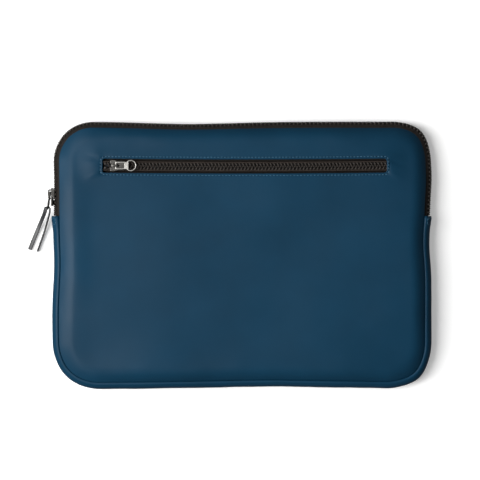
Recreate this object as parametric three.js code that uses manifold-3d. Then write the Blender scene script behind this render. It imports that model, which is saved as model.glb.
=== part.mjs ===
// A padded laptop sleeve with a zip round three sides and a zipped front pocket, lying on its back.
//
// Millimetres. The origin is the middle of the back panel's resting face. +X runs along the sleeve's
// width, +Y towards the mouth, and +Z up through the front panel.
//
// Most pieces follow the sleeve's rounded outline, so they are given as sections. A section point is
// [inset, height]: how far it lies inside the outline, and how high it lies above the table.
import * as THREE from "three";
import { mergeVertices } from "three/addons/utils/BufferGeometryUtils.js";
import Module from "manifold-3d";

const wasm = await Module();
wasm.setup();

// ---------- Driving dimensions ----------

// The whole sleeve
const WIDTH = 340;
const HEIGHT = 240;
const THICKNESS = 27;
const TOP_CORNER = 36;
const BOTTOM_CORNER = 42;
const CORNER_STEPS = 8;
const GAP = 0.3;

// The side wall is an arc that bulges between the two seams
const WALL_RADIUS = 9.7;
const WALL_MIDDLE = 13.1;
const GUSSET_HALF_ANGLE = 60;
const GUSSET_SKIN = 1.4;
const GUSSET_LINING = 2;
const GUSSET_TOP = 35;

// Front and back panels: flat sheets that curve down to the seam along their edges
const SKIN = 1.2;
const SEAM_INSET = 5.5;
const FRONT_EDGE = { width: 18, drop: 5 };
const BACK_EDGE = { width: 16, drop: 4.2 };

// Layers inside, from the table up
const LAYER_INSET = 9.5;
const BACK_FOAM_TOP = 4.2;
const BACK_LINING_TOP = 4.8;
const FRONT_LINING = [16.9, 17.5];
const FRONT_FOAM = [17.5, 20.5];
const POCKET_BACK = [20.5, 21];
const POCKET_FRONT = [25.3, THICKNESS - SKIN];
const BINDING = { inset: [6.9, 8.8], front: [18.6, 20.2], back: [6, 7.6] };

// The mouth flap is the part of the front above this line
const FOLD_Y = 66;
const FOLD_GAP = 0.2;

// Main zip, a size 8 chain in the side wall
const TAPE = [7.3, 8.1];
const TAPE_ANGLES = [26, 62];
const TAPE_TUCK = 6;
const CHAIN = { bead: [6.9, 8.5], root: [6.8, 8.6], tip: [6.3, 9.1], angles: [5.6, 14, 24] };
const MAIN_PITCH = 3.65;
const STOP_ANGLES = [5.6, 24];
const STOP_RADII = [6.7, 8];
const STOP_LENGTH = 3.2;

// Pocket zip, a size 5 chain behind a window in the front panel
const WINDOW = { left: -125, right: 129, low: 73, high: 87.2 };
const POCKET_ZIP_Y = 80;
const POCKET_ZIP_Z = 25.4;
const POCKET_TAPE = 0.6;
const POCKET_TAPE_EDGE = { inner: 3.2, lower: 13.4, upper: 14 };
const POCKET_CHAIN = { inner: 0.6, root: 1.7, outer: 2.85, thickness: 2.4, bead: 1.5 };
const POCKET_PITCH = 3.1;
const TOOTH_SHARE = 0.56;
const POCKET_BAG = { side: 138, bottom: -90, top: 94.5 };

// Sliders. Each is drawn with its chain along local x, its narrow end at +x and its face up
const MAIN_SLIDER = {
  length: 16, narrow: 9.9, wide: 11.4, plate: 1.9, channel: [-2.25, 1.9],
  innerNarrow: 8.4, innerWide: 8.8, innerPlate: 1.4, post: 0.6,
  flange: 0.85, flangeDrop: 1.7, innerFlangeRise: 0, crown: [-1.9, 6.9],
};
const POCKET_SLIDER = {
  length: 13, narrow: 8.6, wide: 10.2, plate: 1.4, channel: [-1.5, 1.5],
  innerNarrow: 8.6, innerWide: 10.2, innerPlate: 1.4, post: 0.6,
  flange: 0.9, flangeDrop: 0.85, innerFlangeRise: 0.85, crown: [-5.8, 5.8],
};
const CROWN = { width: 2.2, height: 3, roof: 1, foot: 1.6 };
const MAIN_SLIDER_Y = 52.2;
const MAIN_CHAIN_X = -WIDTH / 2 + 2;
const POCKET_SLIDER_X = -111.6;

// Pull tabs: a slotted base that hooks under the crown, a solid waist and a round eye
const TAB = { thickness: 1.4, baseHalf: 3.5, slotHalf: 2.2, bar: 0.65, heel: 0.8, eye: 4, rim: 1.1 };
const MAIN_TAB = { slotEnd: 6.9, eyeStart: 8.9, eyeCentre: 10.7, pivotX: 4.3, openAngle: 172 };
const POCKET_TAB = { slotEnd: 7.4, eyeStart: 11.4, eyeCentre: 13.2, pivotX: -1.2, openAngle: 0 };
const TAB_PIVOT_HEIGHT = 1;

// The leather thong: a flat lace through the main tab's eye, with two free tails
const THONG = { width: 3.5, thickness: 1.2, bend: 1.9 };

// ---------- Materials ----------

function material(color, roughness, metalness = 0) {
  return new THREE.MeshStandardMaterial({ color, roughness, metalness });
}

const skinMaterial = material(0x1f4560, 0.55);
const liningMaterial = material(0x3a3f45, 0.95);
const foamMaterial = material(0x55585c, 1);
const tapeMaterial = material(0x23211f, 0.9);
const teethMaterial = material(0x2c2724, 0.45);
const metalMaterial = material(0x77746f, 0.35, 0.9);
const thongMaterial = material(0x5a5b5d, 0.5);

// ---------- The outline ----------

// A station is a point of the outline and the outward direction there.
function station(x, y, nx, ny) {
  return { x, y, nx, ny };
}

function cornerStations(cx, cy, radius, from, to) {
  const stations = [];
  for (let i = 0; i <= CORNER_STEPS; i += 1) {
    const angle = THREE.MathUtils.degToRad(from + ((to - from) * i) / CORNER_STEPS);
    const [nx, ny] = [Math.cos(angle), Math.sin(angle)];
    stations.push(station(cx + radius * nx, cy + radius * ny, nx, ny));
  }
  return stations;
}

const topCornerX = WIDTH / 2 - TOP_CORNER;
const topCornerY = HEIGHT / 2 - TOP_CORNER;
const bottomCornerX = WIDTH / 2 - BOTTOM_CORNER;
const bottomCornerY = -HEIGHT / 2 + BOTTOM_CORNER;

function fullOutline() {
  return [
    ...cornerStations(topCornerX, topCornerY, TOP_CORNER, 0, 90),
    ...cornerStations(-topCornerX, topCornerY, TOP_CORNER, 90, 180),
    ...cornerStations(-bottomCornerX, bottomCornerY, BOTTOM_CORNER, 180, 270),
    ...cornerStations(bottomCornerX, bottomCornerY, BOTTOM_CORNER, 270, 360),
  ];
}

function upperRun(startY) {
  return [
    station(-WIDTH / 2, startY, -1, 0),
    ...cornerStations(-topCornerX, topCornerY, TOP_CORNER, 180, 90),
    ...cornerStations(topCornerX, topCornerY, TOP_CORNER, 90, 0),
    station(WIDTH / 2, startY, 1, 0),
  ];
}

function lowerRun(startY) {
  return [
    station(-WIDTH / 2, startY, -1, 0),
    ...cornerStations(-bottomCornerX, bottomCornerY, BOTTOM_CORNER, 180, 270),
    ...cornerStations(bottomCornerX, bottomCornerY, BOTTOM_CORNER, 270, 360),
    station(WIDTH / 2, startY, 1, 0),
  ];
}

function sideRun(side, lowY, highY) {
  return [
    station((side * WIDTH) / 2, lowY, side, 0),
    station((side * WIDTH) / 2, highY, side, 0),
  ];
}

// ---------- Solids ----------

function signedVolume(points, faces) {
  let volume = 0;
  for (const [a, b, c] of faces) {
    volume += points[a].dot(new THREE.Vector3().crossVectors(points[b], points[c])) / 6;
  }
  return volume;
}

function closedGeometry(points, faces) {
  const outward = signedVolume(points, faces) > 0;
  const index = faces.flatMap(([a, b, c]) => (outward ? [a, b, c] : [a, c, b]));
  return new THREE.BufferGeometry().setFromPoints(points).setIndex(index);
}

function placed(at, [inset, height]) {
  return new THREE.Vector3(at.x - at.nx * inset, at.y - at.ny * inset, height);
}

// Triangles of a flat section, turning the same way as the section's own order.
function capFaces(section) {
  const flat = section.map(([u, v]) => new THREE.Vector2(u, v));
  const turn = Math.sign(THREE.ShapeUtils.area(flat));
  return THREE.ShapeUtils.triangulateShape(flat, []).map(([a, b, c]) => {
    const same = Math.sign(THREE.ShapeUtils.area([flat[a], flat[b], flat[c]])) === turn;
    return same ? [a, b, c] : [a, c, b];
  });
}

// Rings of points, each as long as the next, joined into a tube and closed by caps.
function tube(rings, caps) {
  const size = rings[0].length;
  const faces = [];
  for (let i = 0; i + 1 < rings.length; i += 1) {
    for (let j = 0; j < size; j += 1) {
      const k = (j + 1) % size;
      const [here, next] = [i * size, (i + 1) * size];
      faces.push([here + j, next + j, next + k], [here + j, next + k, here + k]);
    }
  }
  const last = (rings.length - 1) * size;
  for (const [a, b, c] of caps) {
    faces.push([a, b, c], [last + a, last + c, last + b]);
  }
  return closedGeometry(rings.flat(), faces);
}

// A section carried along an open run of the outline.
function alongRun(section, run) {
  return tube(run.map((at) => section.map((point) => placed(at, point))), capFaces(section));
}

// A profile carried all the way round. With hub true its ends close at the middle of the sleeve,
// and otherwise the profile is itself a closed section.
function aroundOutline(profile, hub) {
  const outline = fullOutline();
  const size = profile.length;
  const points = outline.flatMap((at) => profile.map((point) => placed(at, point)));
  const faces = [];
  outline.forEach((_, i) => {
    const [here, next] = [i * size, ((i + 1) % outline.length) * size];
    for (let j = 0; j < (hub ? size - 1 : size); j += 1) {
      const k = (j + 1) % size;
      faces.push([here + j, next + j, next + k], [here + j, next + k, here + k]);
    }
    if (hub) {
      const [first, last] = [points.length, points.length + 1];
      faces.push([first, next, here], [last, here + size - 1, next + size - 1]);
    }
  });
  if (hub) {
    points.push(new THREE.Vector3(0, 0, profile[0][1]));
    points.push(new THREE.Vector3(0, 0, profile[size - 1][1]));
  }
  return closedGeometry(points, faces);
}

// A band of the side wall between two radii and two angles above the wall's middle.
function wallBand([inner, outer], [from, to], steps = 4) {
  const at = (radius, share) => {
    const angle = THREE.MathUtils.degToRad(from + (to - from) * share);
    return [WALL_RADIUS - radius * Math.cos(angle), WALL_MIDDLE + radius * Math.sin(angle)];
  };
  const shares = Array.from({ length: steps + 1 }, (_, i) => i / steps);
  return [
    ...shares.map((share) => at(outer, share)),
    ...shares.reverse().map((share) => at(inner, share)),
  ];
}

function mirroredAngles([from, to]) {
  return [-to, -from];
}

// Stations on a run where each tooth starts and ends, at an even pitch from one end to the other.
function toothStations(run, pitch) {
  const marks = [0];
  for (let i = 1; i < run.length; i += 1) {
    marks.push(marks[i - 1] + Math.hypot(run[i].x - run[i - 1].x, run[i].y - run[i - 1].y));
  }
  const length = marks[marks.length - 1];
  const at = (mark) => {
    const i = Math.max(1, marks.findIndex((end) => end >= mark));
    const share = (mark - marks[i - 1]) / (marks[i] - marks[i - 1]);
    const mix = (key) => THREE.MathUtils.lerp(run[i - 1][key], run[i][key], share);
    return station(mix("x"), mix("y"), mix("nx"), mix("ny"));
  };
  const count = Math.floor(length / pitch);
  const half = (pitch * TOOTH_SHARE) / 2;
  const middles = Array.from({ length: count }, (_, i) => (length * (i + 0.5)) / count);
  return middles.flatMap((middle) => [at(middle - half), at(middle + half)]);
}

// One row of a zip's teeth: a bead carried along the run, with a block standing out at each tooth.
// The bead's section is four points, and the block's tip is two more, next to the middle two.
function toothRow([outer, upper, lower, inner], [upperTip, lowerTip], run, pitch) {
  const bead = [outer, upper, lower, inner];
  const stops = [run[0], ...toothStations(run, pitch), run[run.length - 1]];
  const points = stops.flatMap((at) => [...bead, upperTip, lowerTip].map((point) => placed(at, point)));
  const plain = [[0, 1], [1, 2], [2, 3], [3, 0]];
  const toothed = [[0, 1], [1, 4], [4, 5], [5, 2], [2, 3], [3, 0]];
  const faces = [[0, 1, 2], [0, 2, 3]];
  const size = bead.length + 2;
  for (let i = 0; i + 1 < stops.length; i += 1) {
    const [here, next] = [i * size, (i + 1) * size];
    const isTooth = i % 2 === 1;
    for (const [j, k] of isTooth ? toothed : plain) {
      faces.push([here + j, next + j, next + k], [here + j, next + k, here + k]);
    }
    if (isTooth) {
      faces.push([here + 1, here + 4, here + 5], [here + 1, here + 5, here + 2]);
      faces.push([next + 1, next + 5, next + 4], [next + 1, next + 2, next + 5]);
    }
  }
  const last = (stops.length - 1) * size;
  faces.push([last, last + 2, last + 1], [last, last + 3, last + 2]);
  return closedGeometry(points, faces);
}

// The main zip's row in the side wall, on the front half for side 1 or on the back half for side -1.
function mainToothRow(run, side) {
  const [tipAngle, rootAngle, backAngle] = CHAIN.angles;
  const at = (radius, angle) => {
    const turned = THREE.MathUtils.degToRad(side * angle);
    return [WALL_RADIUS - radius * Math.cos(turned), WALL_MIDDLE + radius * Math.sin(turned)];
  };
  const bead = [
    at(CHAIN.bead[1], backAngle), at(CHAIN.root[1], rootAngle),
    at(CHAIN.root[0], rootAngle), at(CHAIN.bead[0], backAngle),
  ];
  return toothRow(bead, [at(CHAIN.tip[1], tipAngle), at(CHAIN.tip[0], tipAngle)], run, MAIN_PITCH);
}

// The pocket zip's row, above the middle of the window for side 1 or below it for side -1.
function pocketToothRow([fromX, toX], side) {
  const { inner, root, outer, thickness, bead } = POCKET_CHAIN;
  const run = [fromX, toX].map((x) => station(x, POCKET_ZIP_Y, 0, side));
  const at = (offset, rise) => [-offset, POCKET_ZIP_Z + rise / 2];
  const section = [at(outer, bead), at(root, bead), at(root, -bead), at(outer, -bead)];
  return toothRow(section, [at(inner, thickness), at(inner, -thickness)], run, POCKET_PITCH);
}

// The rounded outline at an inset, cut off level at lowY and highY.
function sheetShape(inset, lowY, highY) {
  const [low, high] = [-HEIGHT / 2 + inset, HEIGHT / 2 - inset];
  const side = WIDTH / 2 - inset;
  const shape = new THREE.Shape();
  if (lowY > low) {
    shape.moveTo(-side, lowY);
    shape.lineTo(side, lowY);
  } else {
    shape.absarc(-bottomCornerX, bottomCornerY, BOTTOM_CORNER - inset, Math.PI, 1.5 * Math.PI);
    shape.absarc(bottomCornerX, bottomCornerY, BOTTOM_CORNER - inset, 1.5 * Math.PI, 2 * Math.PI);
  }
  if (highY < high) {
    shape.lineTo(side, highY);
    shape.lineTo(-side, highY);
  } else {
    shape.absarc(topCornerX, topCornerY, TOP_CORNER - inset, 0, 0.5 * Math.PI);
    shape.absarc(-topCornerX, topCornerY, TOP_CORNER - inset, 0.5 * Math.PI, Math.PI);
  }
  return shape;
}

function slab(shape, [low, high]) {
  const options = { depth: high - low, bevelEnabled: false, curveSegments: CORNER_STEPS };
  return new THREE.ExtrudeGeometry(shape, options).translate(0, 0, low);
}

function box(x, y, z) {
  const [sx, sy, sz] = [x, y, z].map(([low, high]) => high - low);
  const [cx, cy, cz] = [x, y, z].map(([low, high]) => (low + high) / 2);
  return new THREE.BoxGeometry(sx, sy, sz).translate(cx, cy, cz);
}

function solid(geometry) {
  const bare = new THREE.BufferGeometry();
  bare.setAttribute("position", geometry.getAttribute("position").clone());
  bare.setIndex(geometry.index ? geometry.index.clone() : null);
  const merged = mergeVertices(bare);
  const vertProperties = merged.attributes.position.array;
  const triVerts = new Uint32Array(merged.index.array);
  return new wasm.Manifold(new wasm.Mesh({ numProp: 3, vertProperties, triVerts }));
}

function geometryOf(manifold) {
  const mesh = manifold.getMesh();
  return new THREE.BufferGeometry()
    .setAttribute("position", new THREE.BufferAttribute(mesh.vertProperties, 3))
    .setIndex(new THREE.BufferAttribute(mesh.triVerts, 1));
}

function joined(geometries) {
  return geometries.map(solid).reduce((sum, next) => sum.add(next));
}

// ---------- The layers of the two panels ----------

// Height by which a panel's face has curved away from flat at an inset.
function edgeDrop(edge, inset) {
  const share = Math.min(1, (inset - SEAM_INSET) / edge.width);
  return edge.drop * (1 - share) ** 2;
}

function edgeInsets(edge, from) {
  const shares = [0, 0.1, 0.25, 0.45, 0.7, 1];
  return shares.map((share) => SEAM_INSET + edge.width * share).filter((inset) => inset >= from);
}

function frontPanel() {
  const insets = edgeInsets(FRONT_EDGE, SEAM_INSET);
  const top = insets.map((inset) => [inset, THICKNESS - edgeDrop(FRONT_EDGE, inset)]);
  const under = top.map(([inset, height]) => [inset, height - SKIN]);
  const shell = solid(aroundOutline([...top.reverse(), ...under], true));
  const window = box([WINDOW.left, WINDOW.right], [WINDOW.low, WINDOW.high], [20, 30]);
  return shell.subtract(solid(window));
}

function backPanel() {
  const insets = edgeInsets(BACK_EDGE, SEAM_INSET);
  const under = insets.map((inset) => [inset, edgeDrop(BACK_EDGE, inset)]);
  const top = under.map(([inset, height]) => [inset, height + SKIN]);
  return aroundOutline([...under.reverse(), ...top], true);
}

function backFoam() {
  const insets = [LAYER_INSET, ...edgeInsets(BACK_EDGE, LAYER_INSET)];
  const under = insets.map((inset) => [inset, edgeDrop(BACK_EDGE, inset) + SKIN + GAP]);
  const edge = [LAYER_INSET, BACK_FOAM_TOP + GAP];
  return aroundOutline([...under.reverse(), edge, [LAYER_INSET + 4, BACK_FOAM_TOP]], true);
}

function bindingSection([low, high]) {
  const [outer, inner] = BINDING.inset;
  return [[outer, low], [inner, low], [inner, high], [outer, high]];
}

// ---------- Sliders and pulls ----------

function sliderPlan(length, narrow, wide) {
  const [end, shoulder, notch] = [length / 2, 1.4, 2];
  const half = [
    [-end + shoulder, -wide / 2], [-end + 0.32 * length, -wide / 2], [-0.4, -narrow / 2],
    [end - 0.8, -narrow / 2], [end, -narrow / 2 + 0.8],
  ];
  const nose = [[-end, wide / 2 - shoulder], [-end, notch], [-end + 1.8, 0.7]];
  const other = half.map(([x, y]) => [x, -y]).reverse();
  const noseBack = nose.map(([x, y]) => [x, -y]).reverse();
  return new THREE.Shape([...half, ...other, ...nose, ...noseBack].map((p) => new THREE.Vector2(...p)));
}

// Two plates joined by a thin post that runs between the rows, with rails that guide the chain.
function sliderBody(dims) {
  const [low, high] = dims.channel;
  const outer = slab(sliderPlan(dims.length, dims.narrow, dims.wide), [high, high + dims.plate]);
  const inner = slab(
    sliderPlan(dims.length, dims.innerNarrow, dims.innerWide), [low - dims.innerPlate, low],
  );
  const nose = -dims.length / 2 + 1;
  const post = box([nose, nose + 4], [-dims.post / 2, dims.post / 2], [low - 0.5, high + 0.5]);
  const railEnd = dims.length / 2 - 0.9;
  const rails = [];
  for (const side of [-1, 1]) {
    const across = (width) => {
      const [near, far] = [side * (width / 2 - dims.flange), (side * width) / 2];
      return [Math.min(near, far), Math.max(near, far)];
    };
    rails.push(box([-0.3, railEnd], across(dims.narrow), [high - dims.flangeDrop, high + 0.5]));
    if (dims.innerFlangeRise > 0) {
      const rise = [low - 0.5, low + dims.innerFlangeRise];
      rails.push(box([-0.3, railEnd], across(dims.innerNarrow), rise));
    }
  }
  return geometryOf(joined([outer, inner, post, ...rails]));
}

// An arch along the slider's face, with room under it for the tab's bar.
function sliderCrown(dims) {
  const face = dims.channel[1] + dims.plate + 0.02;
  const [from, to] = dims.crown;
  const { height, roof, foot, width } = CROWN;
  const inside = height - roof;
  const shape = new THREE.Shape();
  shape.moveTo(from, 0);
  shape.lineTo(from + foot, 0);
  shape.lineTo(from + foot, inside);
  shape.lineTo(to - foot, inside);
  shape.lineTo(to - foot, 0);
  shape.lineTo(to, 0);
  shape.lineTo(to - 0.3, height - 0.8);
  shape.quadraticCurveTo(to - 0.5, height, to - 1.8, height);
  shape.lineTo(from + 1.8, height);
  shape.quadraticCurveTo(from + 0.5, height, from + 0.3, height - 0.8);
  const options = { depth: width, bevelEnabled: false, curveSegments: 4 };
  return new THREE.ExtrudeGeometry(shape, options)
    .translate(0, 0, -width / 2)
    .rotateX(Math.PI / 2)
    .translate(0, 0, face);
}

// The bar is centred on the origin, and the eye lies towards +x.
function pullTab({ slotEnd, eyeStart, eyeCentre }) {
  const { thickness, baseHalf, slotHalf, bar, heel, eye, rim } = TAB;
  const ringFrom = (2 * Math.PI) / 3;
  const ring = eye + rim;
  const meet = [eyeCentre + ring * Math.cos(ringFrom), ring * Math.sin(ringFrom)];
  const shape = new THREE.Shape();
  shape.moveTo(-bar, -baseHalf + heel);
  shape.lineTo(-bar + heel, -baseHalf);
  shape.lineTo(slotEnd, -baseHalf);
  shape.quadraticCurveTo(eyeStart - 1, -baseHalf, meet[0], -meet[1]);
  shape.absarc(eyeCentre, 0, ring, -ringFrom, ringFrom);
  shape.quadraticCurveTo(eyeStart - 1, baseHalf, slotEnd, baseHalf);
  shape.lineTo(-bar + heel, baseHalf);
  shape.lineTo(-bar, baseHalf - heel);
  const slot = new THREE.Path();
  slot.moveTo(bar, -slotHalf);
  slot.lineTo(bar, slotHalf);
  slot.lineTo(slotEnd, slotHalf);
  slot.lineTo(slotEnd, -slotHalf);
  const flat = Math.acos((eyeStart - eyeCentre) / eye);
  const hole = new THREE.Path();
  hole.absarc(eyeCentre, 0, eye, -flat, flat);
  shape.holes.push(slot, hole);
  const options = { depth: thickness, bevelEnabled: false, curveSegments: 12 };
  return new THREE.ExtrudeGeometry(shape, options).translate(0, 0, -thickness / 2);
}

// Points of the thong's centre line: down one tail, round the eye's rim and along the other tail.
// They lie in the part's frame, with the rim's centre at the origin.
function thongLine() {
  const { bend } = THONG;
  const outerTail = [
    [-17.2, -36.6, -9.2], [-13.6, -27.6, -5.8], [-9.4, -17.6, -2.6], [-5.4, -8.8, -0.8],
    [-2.9, -3.4, -0.1],
  ];
  const loop = [];
  for (let i = 0; i <= 8; i += 1) {
    const angle = Math.PI * (1 - i / 8);
    loop.push([bend * Math.cos(angle), bend * Math.sin(angle), 0]);
  }
  const innerTail = [
    [1.5, -3.6, -0.1], [-0.4, -9.8, -0.8], [-3.6, -20, -2.8], [-7.2, -30, -6],
    [-10.2, -38.4, -9.2],
  ];
  return [...outerTail, ...loop, ...innerTail].map((point) => new THREE.Vector3(...point));
}

// A flat lace that stands on edge: its width stays upright along the whole line.
function thong() {
  const line = thongLine();
  const up = new THREE.Vector3(0, 0, 1);
  const rings = line.map((point, i) => {
    const before = line[Math.max(0, i - 1)];
    const after = line[Math.min(line.length - 1, i + 1)];
    const along = after.clone().sub(before).normalize();
    const across = new THREE.Vector3().crossVectors(up, along).normalize();
    const upright = new THREE.Vector3().crossVectors(along, across);
    return [[-1, -1], [1, -1], [1, 1], [-1, 1]].map(([a, b]) => point.clone()
      .addScaledVector(across, (a * THONG.thickness) / 2)
      .addScaledVector(upright, (b * THONG.width) / 2));
  });
  return tube(rings, [[0, 1, 2], [0, 2, 3]]);
}

// ---------- The assembly ----------

const sleeve = new THREE.Group();

function add(name, geometry, look, parent = sleeve) {
  const mesh = new THREE.Mesh(geometry, look);
  mesh.name = name;
  parent.add(mesh);
  return mesh;
}

function addShell() {
  add("back_panel", backPanel(), skinMaterial);
  const front = frontPanel();
  const across = [-WIDTH, WIDTH];
  const below = box(across, [-HEIGHT, FOLD_Y - FOLD_GAP], [0, 2 * THICKNESS]);
  const above = box(across, [FOLD_Y + FOLD_GAP, HEIGHT], [0, 2 * THICKNESS]);
  add("front_panel_lower", geometryOf(front.intersect(solid(below))), skinMaterial);
  add("front_panel_upper", geometryOf(front.intersect(solid(above))), skinMaterial);
  const skinRadii = [WALL_RADIUS - GUSSET_SKIN, WALL_RADIUS];
  const halfAngles = [-GUSSET_HALF_ANGLE, GUSSET_HALF_ANGLE];
  add("gusset", alongRun(wallBand(skinRadii, halfAngles, 8), lowerRun(GUSSET_TOP)), skinMaterial);
  const liningOuter = WALL_RADIUS - GUSSET_SKIN - GAP;
  const lining = wallBand([liningOuter - GUSSET_LINING, liningOuter], halfAngles, 8);
  const liningTop = GUSSET_TOP - TAPE_TUCK - GAP;
  add("gusset_lining", alongRun(lining, lowerRun(liningTop)), liningMaterial);
}

function addLayers() {
  const lower = [-HEIGHT, FOLD_Y - FOLD_GAP];
  const upper = [FOLD_Y + FOLD_GAP, HEIGHT];
  add("back_foam", backFoam(), foamMaterial);
  const whole = sheetShape(LAYER_INSET, -HEIGHT, HEIGHT);
  add("back_lining", slab(whole, [BACK_FOAM_TOP + GAP, BACK_LINING_TOP + GAP]), liningMaterial);
  for (const [end, span] of [["lower", lower], ["upper", upper]]) {
    const shape = sheetShape(LAYER_INSET, ...span);
    add(`front_foam_${end}`, slab(shape, FRONT_FOAM), foamMaterial);
    add(`front_lining_${end}`, slab(shape, FRONT_LINING), liningMaterial);
  }
  add("back_binding", aroundOutline(bindingSection(BINDING.back), false), tapeMaterial);
  const frontBinding = bindingSection(BINDING.front);
  add("front_binding_lower", alongRun(frontBinding, lowerRun(lower[1])), tapeMaterial);
  add("front_binding_upper", alongRun(frontBinding, upperRun(upper[0])), tapeMaterial);
}

function addPocketBag() {
  const side = [-POCKET_BAG.side, POCKET_BAG.side];
  const lowerBack = [POCKET_BAG.bottom, FOLD_Y - FOLD_GAP];
  add("pocket_bag_front", box(side, lowerBack, POCKET_FRONT), liningMaterial);
  add("pocket_bag_back_lower", box(side, lowerBack, POCKET_BACK), liningMaterial);
  const upperBack = [FOLD_Y + FOLD_GAP, POCKET_BAG.top];
  add("pocket_bag_back_upper", box(side, upperBack, POCKET_BACK), liningMaterial);
}

function addMainZip() {
  const tapeLow = GUSSET_TOP - TAPE_TUCK;
  const chainLow = GUSSET_TOP + GAP;
  const frontTape = wallBand(TAPE, TAPE_ANGLES);
  const backTape = wallBand(TAPE, mirroredAngles(TAPE_ANGLES));
  add("back_zip_tape", alongRun(backTape, upperRun(tapeLow)), tapeMaterial);
  add("back_zip_teeth", mainToothRow(upperRun(chainLow), -1), teethMaterial);
  add("front_zip_tape", alongRun(frontTape, upperRun(FOLD_Y + FOLD_GAP)), tapeMaterial);
  add("front_zip_teeth", mainToothRow(upperRun(FOLD_Y + FOLD_GAP), 1), teethMaterial);
  for (const [side, word] of [[-1, "left"], [1, "right"]]) {
    const tapeRun = sideRun(side, tapeLow, FOLD_Y - FOLD_GAP);
    const chainRun = sideRun(side, chainLow, FOLD_Y - FOLD_GAP);
    add(`front_zip_tape_${word}_end`, alongRun(frontTape, tapeRun), tapeMaterial);
    add(`front_zip_teeth_${word}_end`, mainToothRow(chainRun, 1), teethMaterial);
  }
  const stopRun = (side) => sideRun(side, GUSSET_TOP - GAP - STOP_LENGTH, GUSSET_TOP - GAP);
  const frontStop = wallBand(STOP_RADII, STOP_ANGLES, 2);
  const backStop = wallBand(STOP_RADII, mirroredAngles(STOP_ANGLES), 2);
  const wholeStop = wallBand(STOP_RADII, [-STOP_ANGLES[1], STOP_ANGLES[1]], 4);
  add("main_top_stop_front", alongRun(frontStop, stopRun(-1)), teethMaterial);
  add("main_top_stop_back", alongRun(backStop, stopRun(-1)), teethMaterial);
  add("main_bottom_stop", alongRun(wholeStop, stopRun(1)), teethMaterial);
}

function addPocketZip() {
  const tapeX = [WINDOW.left - 6, WINDOW.right + 6];
  const tapeZ = [POCKET_ZIP_Z - POCKET_TAPE / 2, POCKET_ZIP_Z + POCKET_TAPE / 2];
  const { inner, lower, upper } = POCKET_TAPE_EDGE;
  const y = (offsets) => offsets.map((offset) => POCKET_ZIP_Y + offset);
  add("pocket_zip_tape_lower", box(tapeX, y([-lower, -inner]), tapeZ), tapeMaterial);
  add("pocket_zip_tape_upper", box(tapeX, y([inner, upper]), tapeZ), tapeMaterial);

  const chain = POCKET_CHAIN;
  const chainX = [WINDOW.left + 4.2, WINDOW.right - GAP];
  const chainZ = [POCKET_ZIP_Z - chain.thickness / 2, POCKET_ZIP_Z + chain.thickness / 2];
  const rows = [["lower", -1], ["upper", 1]];
  const stopX = [WINDOW.left + 1.2, WINDOW.left + 3.9];
  const stopZ = [chainZ[0] + 0.2, chainZ[1] - 0.2];
  for (const [word, side] of rows) {
    const across = y([side * chain.inner, side * chain.outer].sort((a, b) => a - b));
    add(`pocket_teeth_${word}`, pocketToothRow(chainX, side), teethMaterial);
    add(`pocket_top_stop_${word}`, box(stopX, across, stopZ), teethMaterial);
  }
  const hiddenX = [WINDOW.right + GAP, WINDOW.right + 3.2];
  const hiddenZ = [POCKET_ZIP_Z - 1, POCKET_ZIP_Z + POCKET_TAPE / 2];
  add("pocket_bottom_stop", box(hiddenX, y([-chain.outer, chain.outer]), hiddenZ), teethMaterial);
}

// A slider and its tab, in a group whose local axes are the slider's own.
function addSlider(name, dims, tabDims) {
  const group = new THREE.Group();
  add(`${name}_slider_body`, sliderBody(dims), metalMaterial, group);
  add(`${name}_slider_crown`, sliderCrown(dims), metalMaterial, group);
  const pull = add(`${name}_pull_tab`, pullTab(tabDims), metalMaterial, group);
  const pivotHeight = dims.channel[1] + dims.plate + TAB_PIVOT_HEIGHT;
  pull.position.set(tabDims.pivotX, 0, pivotHeight);
  pull.rotation.y = -THREE.MathUtils.degToRad(tabDims.openAngle);
  sleeve.add(group);
  return group;
}

function addSliders() {
  const pocket = addSlider("pocket", POCKET_SLIDER, POCKET_TAB);
  pocket.position.set(POCKET_SLIDER_X, POCKET_ZIP_Y, POCKET_ZIP_Z);

  // The main slider's narrow end points up the side wall and its face points out to the left
  const main = addSlider("main", MAIN_SLIDER, MAIN_TAB);
  const up = new THREE.Vector3(0, 1, 0);
  const down = new THREE.Vector3(0, 0, -1);
  const left = new THREE.Vector3(-1, 0, 0);
  main.quaternion.setFromRotationMatrix(new THREE.Matrix4().makeBasis(up, down, left));
  main.position.set(MAIN_CHAIN_X, MAIN_SLIDER_Y, WALL_MIDDLE);

  // The thong goes round the rim at the far end of the main tab's eye
  main.updateMatrixWorld(true);
  const rim = new THREE.Vector3(MAIN_TAB.eyeCentre + TAB.eye + TAB.rim / 2, 0, 0);
  main.getObjectByName("main_pull_tab").localToWorld(rim);
  add("pull_thong", thong(), thongMaterial).position.copy(rim);
}

addShell();
addLayers();
addPocketBag();
addMainZip();
addPocketZip();
addSliders();

export default sleeve;
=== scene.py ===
"""The looks of a padded laptop sleeve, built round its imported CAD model.

Sizes here are in millimetres and become metres where a mesh is made. +X runs along the sleeve's width,
+Y towards its mouth and +Z up through the front panel, as in the CAD. A point of a section is
(inset, height): how far it lies inside the sleeve's outline, and how high above the table.
"""

import bisect
import math
import random

import bmesh
import bpy
from mathutils import Matrix, Vector, noise


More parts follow.
